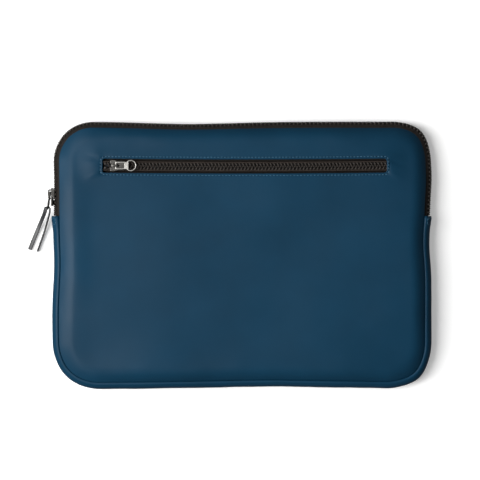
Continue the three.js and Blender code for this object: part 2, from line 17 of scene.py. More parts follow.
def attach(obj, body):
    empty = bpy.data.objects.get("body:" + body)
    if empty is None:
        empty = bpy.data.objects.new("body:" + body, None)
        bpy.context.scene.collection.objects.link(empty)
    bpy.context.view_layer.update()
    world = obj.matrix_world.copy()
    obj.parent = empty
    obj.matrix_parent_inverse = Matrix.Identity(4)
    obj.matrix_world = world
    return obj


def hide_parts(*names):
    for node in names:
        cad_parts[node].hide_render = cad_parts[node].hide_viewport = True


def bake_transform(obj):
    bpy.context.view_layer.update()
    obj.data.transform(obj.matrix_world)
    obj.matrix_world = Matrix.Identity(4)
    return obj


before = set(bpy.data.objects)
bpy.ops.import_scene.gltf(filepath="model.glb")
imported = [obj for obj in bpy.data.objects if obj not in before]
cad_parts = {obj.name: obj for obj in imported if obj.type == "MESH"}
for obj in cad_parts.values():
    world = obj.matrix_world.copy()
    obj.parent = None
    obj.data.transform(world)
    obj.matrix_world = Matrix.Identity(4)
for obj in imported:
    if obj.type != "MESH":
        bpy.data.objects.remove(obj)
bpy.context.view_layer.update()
random.seed(11)

MM = 0.001
WIDTH, HEIGHT, THICKNESS = 340, 240, 27
TOP_CORNER, BOTTOM_CORNER = 36, 42
WALL_RADIUS, WALL_MIDDLE = 9.7, 13.1
SEAM_INSET = 6.4
FOLD_Y = 66
FOLD_START, FOLD_END = (0, 0.0602, 0.027), (0, 0.0712, 0.027)
GUSSET_TOP = 35
WINDOW = (-125, 129, 73.8, 86.3)
POCKET_ZIP_Y, POCKET_ZIP_Z = 80, 25.4
MAIN_SLIDER = (-168, 52.2, WALL_MIDDLE)
POCKET_SLIDER = (-111.6, POCKET_ZIP_Y, POCKET_ZIP_Z)
MAIN_PITCH, POCKET_PITCH = 3.65, 3.1


# ---------- Camera ----------

# Seen from straight above. The camera stands far off, so the sides hardly show.
CAMERA_HEIGHT = 2.4
VIEW_WIDTH = 0.4318


def add_camera():
    camera = bpy.data.objects.new("camera", bpy.data.cameras.new("camera"))
    bpy.context.collection.objects.link(camera)
    bpy.context.scene.camera = camera
    camera.location = (-0.0020, 0.0135, CAMERA_HEIGHT)
    camera.data.sensor_width = 36
    camera.data.lens = 36 * (CAMERA_HEIGHT - WALL_MIDDLE * MM) / VIEW_WIDTH
    camera.data.clip_start, camera.data.clip_end = 0.05, 20


add_camera()


# ---------- Materials ----------

class Shader:
    """A material's node tree, with short calls for the nodes that it uses."""

    def __init__(self, name, color, roughness, **sockets):
        self.material = bpy.data.materials.new(name)
        self.material.use_nodes = True
        self.tree = self.material.node_tree
        self.surface = self.tree.nodes["Principled BSDF"]
        self.surface.inputs["Base Color"].default_value = (*color, 1)
        self.surface.inputs["Roughness"].default_value = roughness
        for key, value in sockets.items():
            self.surface.inputs[key.replace("_", " ")].default_value = value
        self.place = self.node("ShaderNodeTexCoord").outputs["Object"]
        self.height = None

    def node(self, kind, **values):
        made = self.tree.nodes.new(kind)
        for key, value in values.items():
            if hasattr(made, key):
                setattr(made, key, value)
            else:
                made.inputs[key.replace("_", " ")].default_value = value
        return made

    def link(self, source, target):
        self.tree.links.new(source, target)
        return source

    def noise(self, scale, detail=3.0, stretch=(1, 1, 1)):
        made = self.node("ShaderNodeTexNoise", Scale=scale, Detail=detail)
        self.link(self.stretched(stretch), made.inputs["Vector"])
        return made.outputs["Fac"]

    def cells(self, scale, stretch=(1, 1, 1), feature="F1"):
        made = self.node("ShaderNodeTexVoronoi", feature=feature, Scale=scale)
        self.link(self.stretched(stretch), made.inputs["Vector"])
        return made.outputs["Distance"]

    def ribs(self, scale, direction="X", distortion=0.0):
        made = self.node("ShaderNodeTexWave", bands_direction=direction, Scale=scale,
                         Distortion=distortion)
        self.link(self.place, made.inputs["Vector"])
        return made.outputs["Fac"]

    def stretched(self, stretch):
        if tuple(stretch) == (1, 1, 1):
            return self.place
        made = self.node("ShaderNodeMapping", Scale=stretch)
        self.link(self.place, made.inputs["Vector"])
        return made.outputs["Vector"]

    def math(self, operation, a, b):
        made = self.node("ShaderNodeMath", operation=operation)
        for value, socket in zip((a, b), made.inputs):
            if isinstance(value, (int, float)):
                socket.default_value = value
            else:
                self.link(value, socket)
        return made.outputs[0]

    def ramp(self, source, low, high, start=0.3, end=0.7):
        made = self.node("ShaderNodeMapRange")
        self.link(source, made.inputs["Value"])
        for key, value in (("From Min", start), ("From Max", end), ("To Min", low), ("To Max", high)):
            made.inputs[key].default_value = value
        return made.outputs["Result"]

    def tint(self, source, dark, light, start=0.3, end=0.7):
        made = self.node("ShaderNodeValToRGB")
        made.color_ramp.elements[0].position, made.color_ramp.elements[1].position = start, end
        made.color_ramp.elements[0].color = (*dark, 1)
        made.color_ramp.elements[1].color = (*light, 1)
        self.link(source, made.inputs["Fac"])
        self.link(made.outputs["Color"], self.surface.inputs["Base Color"])

    def rough(self, source, low, high, start=0.3, end=0.7):
        self.link(self.ramp(source, low, high, start, end), self.surface.inputs["Roughness"])

    def bump(self, source, millimetres, strength=1.0):
        made = self.node("ShaderNodeBump", Strength=strength, Distance=millimetres * MM)
        self.link(source, made.inputs["Height"])
        if self.height:
            self.link(self.height, made.inputs["Normal"])
        self.height = made.outputs["Normal"]
        self.link(self.height, self.surface.inputs["Normal"])


def mixed(color, amount):
    return tuple(channel * amount for channel in color)


def coated_leather(name, color):
    look = Shader(name, color, 0.4, Specular_IOR_Level=0.1)
    cloudy = look.noise(18, 4)
    look.tint(cloudy, mixed(color, 0.9), mixed(color, 1.1))
    look.rough(look.noise(90, 3), 0.38, 0.41)
    look.bump(look.cells(900), 0.05, 0.35)
    look.bump(look.noise(2600, 2), 0.03, 0.3)
    return look.material


def thread(name, color):
    look = Shader(name, color, 0.6, Specular_IOR_Level=0.2)
    look.tint(look.noise(1500), mixed(color, 0.7), mixed(color, 1.25))
    look.bump(look.ribs(1800, "DIAGONAL"), 0.05, 0.8)
    return look.material


def woven(name, color, thread_scale=620):
    look = Shader(name, color, 0.8, Specular_IOR_Level=0.2)
    weave = look.math("MULTIPLY", look.ribs(thread_scale, "X"), look.ribs(thread_scale, "Y"))
    look.tint(look.math("ADD", weave, look.noise(300)), mixed(color, 0.6), mixed(color, 1.5), 0.3, 1.2)
    look.bump(weave, 0.12, 0.8)
    look.bump(look.ribs(thread_scale, "Z"), 0.08, 0.5)
    return look.material


def moulded(name, color):
    look = Shader(name, color, 0.5, Specular_IOR_Level=0.25)
    look.tint(look.noise(400), mixed(color, 0.75), mixed(color, 1.3))
    look.rough(look.noise(700), 0.42, 0.58)
    look.bump(look.noise(3000), 0.02, 0.4)
    return look.material


def gunmetal(name, color, roughness=0.32):
    look = Shader(name, color, roughness, Metallic=1.0)
    look.tint(look.noise(260, 5), mixed(color, 0.78), mixed(color, 1.2))
    look.rough(look.noise(900, 4, (1, 8, 1)), roughness - 0.06, roughness + 0.08)
    look.bump(look.noise(1600, 4, (1, 6, 1)), 0.02, 0.35)
    return look.material


def knit(name, color):
    look = Shader(name, color, 0.95, Sheen_Weight=0.4, Sheen_Roughness=0.6)
    loops = look.cells(700, (1, 0.6, 1))
    look.tint(loops, mixed(color, 1.25), mixed(color, 0.7), 0.1, 0.7)
    look.bump(loops, -0.18, 0.9)
    look.bump(look.noise(60), 0.2, 0.4)
    return look.material


def foam(name, color):
    look = Shader(name, color, 0.95)
    pores = look.cells(520)
    look.tint(pores, mixed(color, 0.65), mixed(color, 1.15), 0.05, 0.5)
    look.bump(pores, 0.2, 0.9)
    return look.material


def lace_leather(name, color):
    look = Shader(name, color, 0.36, Specular_IOR_Level=0.34)
    look.tint(look.noise(500, 4), mixed(color, 0.75), mixed(color, 1.25))
    look.rough(look.noise(1200, 3), 0.33, 0.4)
    look.bump(look.cells(1800), 0.03, 0.4)
    return look.material


BLUE = (0.0048, 0.0365, 0.073)
skin_look = coated_leather("skin_look", BLUE)
# The needle holes' look: the skin's blue darkened, painted shade in the pits.
needle_hole_shade_look = coated_leather("needle_hole_shade_look", mixed(BLUE, 0.15))
thread_look = thread("thread_look", (0.048, 0.135, 0.215))
tape_look = woven("tape_look", (0.012, 0.0095, 0.008))
# The zip cord is coloured lighter than its tape: a painted highlight on the raised bead.
cord_painted_highlight_look = woven("cord_painted_highlight_look", (0.032, 0.024, 0.019))
binding_look = woven("binding_look", (0.012, 0.013, 0.015), 420)
teeth_look = moulded("teeth_look", (0.022, 0.017, 0.014))
tab_look = gunmetal("tab_look", (0.36, 0.35, 0.33), 0.48)
# The pocket slider's body and crown are coloured far darker than its tab of the same metal: painted shade
# under the tab.
slider_painted_shade_look = gunmetal("slider_painted_shade_look", (0.08, 0.077, 0.072), 0.38)
dark_metal_look = gunmetal("dark_metal_look", (0.05, 0.048, 0.045))
lining_look = knit("lining_look", (0.035, 0.040, 0.048))
foam_look = foam("foam_look", (0.09, 0.095, 0.10))
lace_look = lace_leather("lace_look", (0.024, 0.025, 0.027))


# ---------- Making pieces ----------

def new_piece(name, points, faces, look, exact=False):
    """A piece from points in millimetres. Its outline strays like the rest, unless it is exact."""
    mesh = bpy.data.meshes.new(name)
    places = points if exact else [strayed(*point) for point in points]
    mesh.from_pydata([Vector(place) * MM for place in places], [], faces)
    shaped = bmesh.new()
    shaped.from_mesh(mesh)
    bmesh.ops.recalc_face_normals(shaped, faces=shaped.faces)
    shaped.to_mesh(mesh)
    shaped.free()
    mesh.polygons.foreach_set("use_smooth", [True] * len(mesh.polygons))
    piece = bpy.data.objects.new(name, mesh)
    bpy.context.collection.objects.link(piece)
    mesh.materials.append(look)
    return piece


def turns(count):
    """Angles spaced evenly round a circle."""
    return [math.tau * i / count for i in range(count)]


def tube_faces(size, rings):
    """The faces of a closed tube, made of rings that have the same number of points."""
    faces = []
    for start in range(0, (rings - 1) * size, size):
        for j in range(size):
            k = (j + 1) % size
            faces.append((start + j, start + k, start + size + k, start + size + j))
    faces.append(tuple(range(size)))
    faces.append(tuple((rings - 1) * size + j for j in reversed(range(size))))
    return faces


def joined(parts):
    """Several (points, faces) lists as one."""
    points, faces = [], []
    for part_points, part_faces in parts:
        start = len(points)
        points += part_points
        faces += [tuple(start + i for i in face) for face in part_faces]
    return points, faces


def settle(piece, body, slot, *nodes):
    """Ends the making of a piece: attaches it to its body's empty, or for the fold bakes its place into
    its mesh, and hides the CAD nodes that it stands for. The slot is not used.
    """
    if body == "fold":
        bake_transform(piece)
        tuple(FOLD_START)
        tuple(FOLD_END)
    else:
        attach(piece, body)
    if nodes:
        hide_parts(*nodes)
    return piece


def ease(value, low, high):
    share = min(1, max(0, (value - low) / (high - low)))
    return share * share * (3 - 2 * share)


def bump(value, middle, width):
    return math.exp(-(((value - middle) / width) ** 2))


# Corners drawn rounder by the pattern than they are sewn: place, and how far out each one stands
CORNERS = [
    (-159.5, 109.5, 0.5),
    (159.5, 109.5, 2.9),
    (-157.7, -107.7, 1.1),
    (157.7, -107.7, 2.8),
]


def strayed(x, y, z):
    """A hand-sewn outline is never quite even: its sides dip, and its corners differ."""
    dx = ease(-x, 120, 165) * (1.1 * bump(y, -8, 22) - 0.6 * bump(y, -58, 28) - 0.5 * bump(y, 88, 16))
    dx -= ease(x, 120, 165) * (1.9 * bump(y, 12, 22) - 1.1 * bump(y, 70, 16))
    dy = ease(y, 88, 118) * (0.65 - 2.0 * bump(x, -50, 50) - 0.3 * bump(x, 10, 40))
    sag = 2.3 * bump(x, 26, 62) + 0.5 * bump(x, -60, 40) + 0.7 * bump(x, 110, 40) - 0.35
    dy += ease(-y, 70, 118) * sag
    dy -= 0.85 * max(0, math.cos(math.pi * x / 254)) * bump(y, 80, 20)
    for cx, cy, out in CORNERS:
        pull = out * 0.7 * math.exp(-((x - cx) ** 2 + (y - cy) ** 2) / 260)
        dx += math.copysign(pull, cx)
        dy += math.copysign(pull, cy)
    return (x + dx, y + dy, z * (1 - corner_slack(x, y)))


def corner_slack(x, y):
    """The sleeve is thinner towards its unfilled corners, but not along the pocket's zip."""
    held = bump(y, 80, 16) * (1 - ease(abs(x), 128, 150))
    start, most = (85, 0.18) if x > 0 else (60, 0.2 if y > 0 else 0.16)
    return most * ease(abs(x), start, 165) * ease(abs(y), 50, 114) * (1 - held)


# ---------- The outline ----------

def corner_stations(cx, cy, radius, start, end, steps=26):
    made = []
    for i in range(steps + 1):
        angle = math.radians(start + (end - start) * i / steps)
        nx, ny = math.cos(angle), math.sin(angle)
        made.append((cx + radius * nx, cy + radius * ny, nx, ny))
    return made


TOP_X, TOP_Y = WIDTH / 2 - TOP_CORNER, HEIGHT / 2 - TOP_CORNER
LOW_X, LOW_Y = WIDTH / 2 - BOTTOM_CORNER, -HEIGHT / 2 + BOTTOM_CORNER


def divided(stations, step=4.0):
    """The same run with its long straights cut into short steps."""
    made = [stations[0]]
    for here, there in zip(stations, stations[1:]):
        count = max(1, round(math.dist(here[:2], there[:2]) / step))
        made += [tuple(a + (b - a) * i / count for a, b in zip(here, there)) for i in range(1, count + 1)]
    return made


def upper_run(start_y, step=4.0):
    return divided([
        (-WIDTH / 2, start_y, -1, 0),
        *corner_stations(-TOP_X, TOP_Y, TOP_CORNER, 180, 90),
        *corner_stations(TOP_X, TOP_Y, TOP_CORNER, 90, 0),
        (WIDTH / 2, start_y, 1, 0),
    ], step)


def lower_run(start_y, step=4.0):
    return divided([
        (-WIDTH / 2, start_y, -1, 0),
        *corner_stations(-LOW_X, LOW_Y, BOTTOM_CORNER, 180, 270),
        *corner_stations(LOW_X, LOW_Y, BOTTOM_CORNER, 270, 360),
        (WIDTH / 2, start_y, 1, 0),
    ], step)


def closed_run(step=4.0):
    upper = upper_run(0, step)
    lower = lower_run(0, step)[::-1]
    return upper[:-1] + lower[:-1]


def placed(at, inset, height):
    return (at[0] - at[2] * inset, at[1] - at[3] * inset, height)


def wall(radius, angle):
    turned = math.radians(angle)
    return (WALL_RADIUS - radius * math.cos(turned), WALL_MIDDLE + radius * math.sin(turned))


def sweep(run, section, ring=False, open_section=False):
    """(points, faces) of a section carried along a run. The section may be a function of the step."""
    at_step = section if callable(section) else lambda i: section
    points = [placed(at, *point) for i, at in enumerate(run) for point in at_step(i)]
    size = len(at_step(0))
    faces = []
    for i in range(len(run) if ring else len(run) - 1):
        here, there = i * size, ((i + 1) % len(run)) * size
        for j in range(size - 1 if open_section else size):
            k = (j + 1) % size
            faces.append((here + j, here + k, there + k, there + j))
    if not ring and not open_section:
        last = (len(run) - 1) * size
        faces.append(tuple(range(size)))
        faces.append(tuple(last + j for j in reversed(range(size))))
    return points, faces


def band(inner, outer, low, high, steps=10):
    """A closed section of the side wall between two radii and two angles, its ends rounded."""
    def arc(radius, start, end):
        return [wall(radius, start + (end - start) * i / steps) for i in range(steps + 1)]
    middle = (inner + outer) / 2
    over = math.degrees((outer - inner) / 2 / middle)
    tips = wall(middle, high + over), wall(middle, low - over)
    return [*arc(outer, low, high), tips[0], *arc(inner, high, low), tips[1]]


# ---------- The two panels ----------

def inset_at(x, y):
    """How far a point lies inside the outline."""
    radius, cx, cy = (TOP_CORNER, TOP_X, TOP_Y) if y > 0 else (BOTTOM_CORNER, LOW_X, -LOW_Y)
    dx, dy = abs(x) - cx, abs(y) - cy
    if dx > 0 and dy > 0:
        return radius - math.hypot(dx, dy)
    return min(WIDTH / 2 - abs(x), HEIGHT / 2 - abs(y))


def half_width(y, inset):
    """Half the width at y of the outline drawn in by inset."""
    radius, cx, cy = (TOP_CORNER, TOP_X, TOP_Y) if y > 0 else (BOTTOM_CORNER, LOW_X, -LOW_Y)
    reach = radius - inset
    over = min(reach, max(0, abs(y) - cy))
    return cx + math.sqrt(max(0, reach * reach - over * over))


class Swell:
    """How far the front cover bulges between its seam and its window: a sheet of cloth under pressure."""

    step = 6
    reach = (162, 114)
    height = 0.9

    def __init__(self):
        self.columns = 2 * self.reach[0] // self.step + 1
        self.rows = 2 * self.reach[1] // self.step + 1
        self.rise = [0.0] * (self.columns * self.rows)
        self.simulate()

    def place(self, number):
        row, column = divmod(number, self.columns)
        return column * self.step - self.reach[0], row * self.step - self.reach[1]

    def is_held(self, x, y):
        left, right, low, high = WINDOW
        in_window = left - 6 < x < right + 6 and low - 5 < y < high + 5
        return in_window or inset_at(x, y) < 9

    def simulate(self):
        count = self.columns * self.rows
        places = [self.place(number) for number in range(count)]
        wide = self.columns
        faces = [(a, a + 1, a + wide + 1, a + wide) for a in range(count - wide) if a % wide < wide - 1]
        mesh = bpy.data.meshes.new("swell")
        mesh.from_pydata([(x * MM, y * MM, 0.2) for x, y in places], [], faces)
        sheet = bpy.data.objects.new("swell", mesh)
        bpy.context.collection.objects.link(sheet)
        held = sheet.vertex_groups.new(name="held")
        held.add([i for i, place in enumerate(places) if self.is_held(*place)], 1.0, "REPLACE")
        cloth = sheet.modifiers.new("cloth", "CLOTH")
        settings = cloth.settings
        settings.quality, settings.mass, settings.vertex_group_mass = 5, 0.3, "held"
        settings.tension_stiffness = settings.compression_stiffness = 20
        settings.bending_stiffness = 2
        settings.use_pressure, settings.uniform_pressure_force = True, 4
        settings.effector_weights.gravity = 0
        for number in range(1, 21):
            bpy.context.scene.frame_set(number)
        shape = sheet.evaluated_get(bpy.context.evaluated_depsgraph_get()).to_mesh()
        rise = [vertex.co.z - 0.2 for vertex in shape.vertices]
        peak = max(abs(value) for value in rise)
        self.rise = [abs(value) / peak * self.height for value in rise]
        bpy.data.objects.remove(sheet)
        bpy.context.scene.frame_set(1)

    def at(self, x, y):
        u = min(max((x + self.reach[0]) / self.step, 0), self.columns - 1.001)
        v = min(max((y + self.reach[1]) / self.step, 0), self.rows - 1.001)
        i, j = int(u), int(v)
        a = j * self.columns + i
        near = self.rise[a] * (1 - u + i) + self.rise[a + 1] * (u - i)
        far = self.rise[a + self.columns] * (1 - u + i) + self.rise[a + self.columns + 1] * (u - i)
        return near * (1 - v + j) + far * (v - j)


swell = Swell()

# Broad, shallow swells of the padding: middle, half widths and height
SWELLS = [
    (-95, -62, 42, 40, 0.8), (2, -96, 24, 20, 0.4), (148, 4, 40, 48, 1.2), (62, -44, 26, 22, 0.35),
    (-150, -4, 11.5, 60, 1.0), (-60, 30, 60, 34, 0.5), (40, 40, 70, 26, -0.3), (110, -80, 44, 30, -0.3),
    (-124, 83, 8, 7, -0.7), (125, 86, 9, 6, 0.7),
]

# Puckers that run out from the ends of the window: foot, direction, length and height
PUCKERS = [
    (-129, 86, 166, 18, -0.7), (-129, 74, 205, 16, 0.6),
    (133, 84, -16, 22, -0.8), (133, 74, -36, 16, 0.5),
]


def pucker(x, y):
    height = 0
    for px, py, heading, length, rise in PUCKERS:
        turned = math.radians(heading)
        along = (x - px) * math.cos(turned) + (y - py) * math.sin(turned)
        across = -(x - px) * math.sin(turned) + (y - py) * math.cos(turned)
        spread_out = 1.8 + max(0, along) * 0.12
        height += rise * ease(along, -3, 2) * (1 - ease(along, 2, length)) * bump(across, 0, spread_out)
    return height


def puff(x, y):
    inset = inset_at(x, y)
    broad = sum(rise * bump(x, cx, wide) * bump(y, cy, high) for cx, cy, wide, high, rise in SWELLS)
    wander = noise.noise(Vector((x / 60, y / 52, 3.7))) * 0.8 * ease(inset, 8, 40)
    beside_seam = ease(inset, 6.5, 10) * (1 - ease(inset, 12, 30))
    edge = noise.noise(Vector((x / 18, y / 18, 9.1))) * 0.3 * beside_seam
    return broad + wander + edge + pucker(x, y)


def front_height(x, y):
    """The cover rolls into its seam: gently at the left, and steeply under the middle of the zip."""
    inside = max(0, inset_at(x, y) - SEAM_INSET)
    soft = ease(-x, 90, 150)
    steep = ease(y, 60, 100) * ease(x, -120, 60)
    roll = (6.5 - 1.2 * soft + 0.9 * steep) * max(0, 1 - inside / (13 - soft)) ** (2.4 - 0.9 * soft)
    return THICKNESS + 0.3 - roll + puff(x, y) + swell.at(x, y)


def back_height(x, y):
    """The back rests on the table, so only its edges leave it."""
    inside = max(0, inset_at(x, y) - SEAM_INSET)
    return 2.6 * max(0, 1 - inside / 8) ** 2.2 + 2.4 * max(0, 1 - inside / 20) ** 2


def rows_of(cy_top, reach_top, cy_low, reach_low, marks):
    """Rows across a panel: close together round the corners, and through each mark."""
    top = [cy_top + reach_top * math.sin(math.radians(a)) for a in range(0, 91, 5)]
    low = [-cy_low - reach_low * math.sin(math.radians(a)) for a in range(0, 91, 5)]
    inside = sorted({m for m in marks if -cy_low < m < cy_top} | {-cy_low, cy_top})
    rows = []
    for start, end in zip(inside, inside[1:]):
        fine = start >= FOLD_Y - 8 and end <= FOLD_Y + 24
        count = max(1, round((end - start) / (1.1 if fine else 3.2)))
        rows += [start + (end - start) * i / count for i in range(count)]
    crossing = [m for m in marks if m > cy_top]
    kept = [y for y in top if all(abs(y - m) > 0.8 for m in crossing)]
    return sorted({round(y, 5) for y in [*rows, *kept, *low, *crossing]})


# Columns run straight up to this far from the middle, and bend with the outline past it
CORE = 126


def straight_columns(hole):
    stops = sorted({-CORE, CORE, *(x for x in hole[:2] if abs(x) < CORE), -CORE + 8, CORE - 8})
    columns = []
    for start, end in zip(stops, stops[1:]):
        count = max(1, round((end - start) / (1.3 if end - start < 12 else 3.0)))
        columns += [start + (end - start) * i / count for i in range(count)]
    return [*columns, CORE]


def panel_grid(height, inset=SEAM_INSET, hole=None):
    """(points, faces) of a panel's face. Its columns follow the outline only near the sides."""
    hole = hole or (0, 0, 0, 0)
    marks = [hole[2], hole[3], FOLD_Y - 8, FOLD_Y + 8]
    rows = rows_of(TOP_Y, TOP_CORNER - inset, -LOW_Y, BOTTOM_CORNER - inset, marks)
    columns = straight_columns(hole)
    shares = [math.sin(math.pi / 2 * i / 22) for i in range(1, 23)]

    def xs(y):
        outer = half_width(y, inset) - CORE
        right = [CORE + outer * share for share in shares]
        left = [-x for x in reversed(right)]
        return left + columns + right

    points, faces = [], []
    width = len(columns) + 2 * len(shares)
    for y in rows:
        for x in xs(y):
            points.append((x, y, height(x, y)))
    for i in range(len(rows) - 1):
        row = xs(rows[i])
        y_mid = (rows[i] + rows[i + 1]) / 2
        for j in range(width - 1):
            x_mid = (row[j] + row[j + 1]) / 2
            if hole[0] < x_mid < hole[1] and hole[2] < y_mid < hole[3]:
                continue
            a = i * width + j
            faces.append((a, a + 1, a + width + 1, a + width))
    return points, faces


def boundary_loops(piece_mesh):
    """The open edges of a mesh as ordered lists of vertex numbers."""
    count = {}
    for polygon in piece_mesh.polygons:
        loop = list(polygon.vertices)
        for a, b in zip(loop, loop[1:] + loop[:1]):
            key = (min(a, b), max(a, b))
            count[key] = count.get(key, 0) + 1
    near = {}
    for (a, b), times in count.items():
        if times == 1:
            near.setdefault(a, []).append(b)
            near.setdefault(b, []).append(a)
    loops = []
    left = set(near)
    while left:
        start = left.pop()
        loop = [start]
        while True:
            ahead = [v for v in near[loop[-1]] if v in left]
            if not ahead:
                break
            loop.append(ahead[0])
            left.discard(ahead[0])
        loops.append(loop)
    return sorted(loops, key=len, reverse=True)


MARGIN = 4.0


def squeezed(value, outer, half, round_by):
    """Draws a side of half-length outer in to half. Only the part beside the corner is shortened."""
    keep = half - round_by
    if abs(value) <= keep:
        return value
    return math.copysign(keep + (abs(value) - keep) * round_by / (outer - keep), value)


def window_ring(x, y, offset, radius):
    """The point on the window's rounded outline, grown by offset, that belongs to a point of the hole."""
    left, right, low, high = WINDOW
    cx, cy = (left + right) / 2, (low + high) / 2
    half_x, half_y = (right - left) / 2 + offset, (high - low) / 2 + offset
    round_by = radius + offset
    px = squeezed(x - cx, (right - left) / 2 + MARGIN, half_x, round_by)
    py = squeezed(y - cy, (high - low) / 2 + MARGIN, half_y, round_by)
    kx, ky = abs(px) - (half_x - round_by), abs(py) - (half_y - round_by)
    if kx > 0 and ky > 0:
        size = math.hypot(kx, ky)
        px = math.copysign(half_x - round_by + kx / size * round_by, px)
        py = math.copysign(half_y - round_by + ky / size * round_by, py)
    return cx + px, cy + py


# Round the window: a sewn dip, then the edge that turns under. Distance from the window, and rise
WINDOW_EDGE = [
    (2.9, 0), (2.35, -0.14), (1.9, -0.24), (1.45, -0.1), (0.95, 0.12), (0.5, 0.12),
    (0.16, -0.1), (0, -0.5), (0.05, -1.1), (0.3, -1.7), (0.9, -2.0), (2.4, -2.05),
]

# Round the outside: the edge turns under into the seam. Distance outward, and rise
SEAM_TURN = [(0.25, -0.35), (0.3, -0.85), (-0.2, -1.3), (-1.4, -1.7)]


def add_rings(points, faces, loop, make, count):
    """Carries an open edge on through rings of points."""
    previous = loop
    for step in range(count):
        start = len(points)
        for number in loop:
            points.append(make(points[number], step))
        ring = list(range(start, start + len(loop)))
        for i in range(len(loop)):
            k = (i + 1) % len(loop)
            faces.append((previous[i], previous[k], ring[k], ring[i]))
        previous = ring


def outward_sides(rim):
    """For each point of a closed rim, the level direction that leads away from the panel."""
    sides = {}
    for i, point in enumerate(rim):
        along = Vector(rim[(i + 1) % len(rim)]) - Vector(rim[i - 1])
        side = Vector((along.y, -along.x, 0)).normalized()
        if side.dot(Vector((point[0], point[1], 0))) < 0:
            side = -side
        sides[tuple(point)] = side
    return sides


def window_step(point, step):
    offset, rise = WINDOW_EDGE[step]
    x, y = window_ring(point[0], point[1], offset, 2.0)
    return (x, y, front_height(x, y) + rise)


def front_skin():
    left, right, low, high = WINDOW
    hole = (left - MARGIN, right + MARGIN, low - MARGIN, high + MARGIN)
    points, faces = panel_grid(front_height, hole=hole)
    probe = bpy.data.meshes.new("probe")
    probe.from_pydata(points, [], faces)
    outer, inner = boundary_loops(probe)[:2]
    add_rings(points, faces, inner, window_step, len(WINDOW_EDGE))
    outward = outward_sides([points[number] for number in outer])

    def seam_step(point, step):
        out, rise = SEAM_TURN[step]
        side = outward[tuple(point)]
        return (point[0] + side.x * out, point[1] + side.y * out, point[2] + rise)

    add_rings(points, faces, outer, seam_step, len(SEAM_TURN))
    piece = new_piece("front_skin", points, faces, skin_look)
    return settle(piece, "fold", "skin", "front_panel_lower", "front_panel_upper")


def back_skin():
    points, faces = panel_grid(back_height)
    piece = new_piece("back_skin", points, faces, skin_look)
    mesh = bmesh.new()
    mesh.from_mesh(piece.data)
    edges = [edge for edge in mesh.edges if edge.is_boundary]
    for out, rise in [(0.25, 0.35), (0.05, 0.5), (-0.6, 0.45), (-1.4, 0.4)]:
        made = bmesh.ops.extrude_edge_only(mesh, edges=edges)["geom"]
        verts = [v for v in made if isinstance(v, bmesh.types.BMVert)]
        edges = [e for e in made if isinstance(e, bmesh.types.BMEdge)]
        for vert in verts:
            side = Vector((vert.co.x, vert.co.y, 0)).normalized()
            vert.co += (side * out + Vector((0, 0, rise))) * MM
    bmesh.ops.recalc_face_normals(mesh, faces=mesh.faces)
    mesh.to_mesh(piece.data)
    mesh.free()
    piece.data.polygons.foreach_set("use_smooth", [True] * len(piece.data.polygons))
    return settle(piece, "sleeve", "skin", "back_panel")


front_skin()
back_skin()


# ---------- The side wall ----------

def hem_radius(x, from_end):
    """The wall's outer radius beside a hem, which flares over the zip's end."""
    flare = 2.0 if x < 0 else 1.1
    return WALL_RADIUS + 0.3 + flare * (1 - ease(from_end, -6, 17))


def gusset():
    """The strip has a folded hem at each end, which stands a little proud of the zip."""
    run = lower_run(GUSSET_TOP, 3.0)
    hem = 9.0

    # The edges turn in to meet the panels' edges in a groove
    edge = [(5.3, 21.4), (5.85, 21.1), (6.1, 20.5), (6.1, 19.5), (5.95, 18.4), (5.2, 18.3), (4.95, 19.1)]
    under = [(inset, 2 * WALL_MIDDLE - height) for inset, height in reversed(edge)]

    def section(i):
        x, y = run[i][:2]
        from_end = GUSSET_TOP - y
        thick = 1.2 + 0.9 * (1 - ease(from_end, hem - 1.0, hem + 0.6))
        lip = 0.5 * (1 - ease(from_end, 0, 1.2))
        ripple = 0.2 * noise.noise(Vector((x / 14, y / 14, 1.3)))
        outer = hem_radius(x, from_end) - lip + ripple
        inner = outer - thick + lip * 0.6
        arc = [wall(outer, -57 + 114 * j / 22) for j in range(23)]
        back = [wall(inner, 50 - 100 * j / 18) for j in range(19)]
        return [*arc, *edge, *back, *under]

    points, faces = sweep(run, section)
    piece = new_piece("gusset_skin", points, faces, skin_look)
    return settle(piece, "sleeve", "skin", "gusset")


gusset()


# ---------- Main zip ----------

class Along:
    """A run of stations, measured in millimetres from its start."""

    def __init__(self, run):
        self.run = run
        self.marks = [0]
        for here, there in zip(run, run[1:]):
            self.marks.append(self.marks[-1] + math.dist(here[:2], there[:2]))
        self.length = self.marks[-1]

    def at(self, mark):
        i = min(max(1, bisect.bisect_left(self.marks, mark)), len(self.marks) - 1)
        share = (mark - self.marks[i - 1]) / (self.marks[i] - self.marks[i - 1])
        return tuple(a + (b - a) * share for a, b in zip(self.run[i - 1], self.run[i]))


# A moulded tooth from its hooked head to its root: reach across, half length along, half thickness
TOOTH = [(-1.0, 0.42, 0.7), (-0.75, 0.82, 1.05), (0.0, 0.9, 1.2), (0.65, 0.62, 1.1), (1.1, 0.95, 1.35),
         (1.5, 1.08, 1.45), (3.0, 1.08, 1.45), (3.35, 0.85, 1.2), (3.5, 0.5, 0.8)]


def tooth(place, mark, size, slant):
    """One tooth as (points, faces). place(along, across, up) gives a point of the zip."""
    points = []
    for across, half_length, half_thick in TOOTH:
        crest, flank = 0.5 * half_length, 0.25 * half_thick
        ring = [
            (half_length, flank), (crest, half_thick), (-crest, half_thick), (-half_length, flank),
            (-half_length, -flank), (-crest, -half_thick), (crest, -half_thick), (half_length, -flank),
        ]
        for along, up in ring:
            points.append(place(mark + (along - slant * across) * size, across * size, up * size))
    return points, tube_faces(8, len(TOOTH))


CHAIN_RADIUS = 7.95
TOOTH_REACH = 1.4


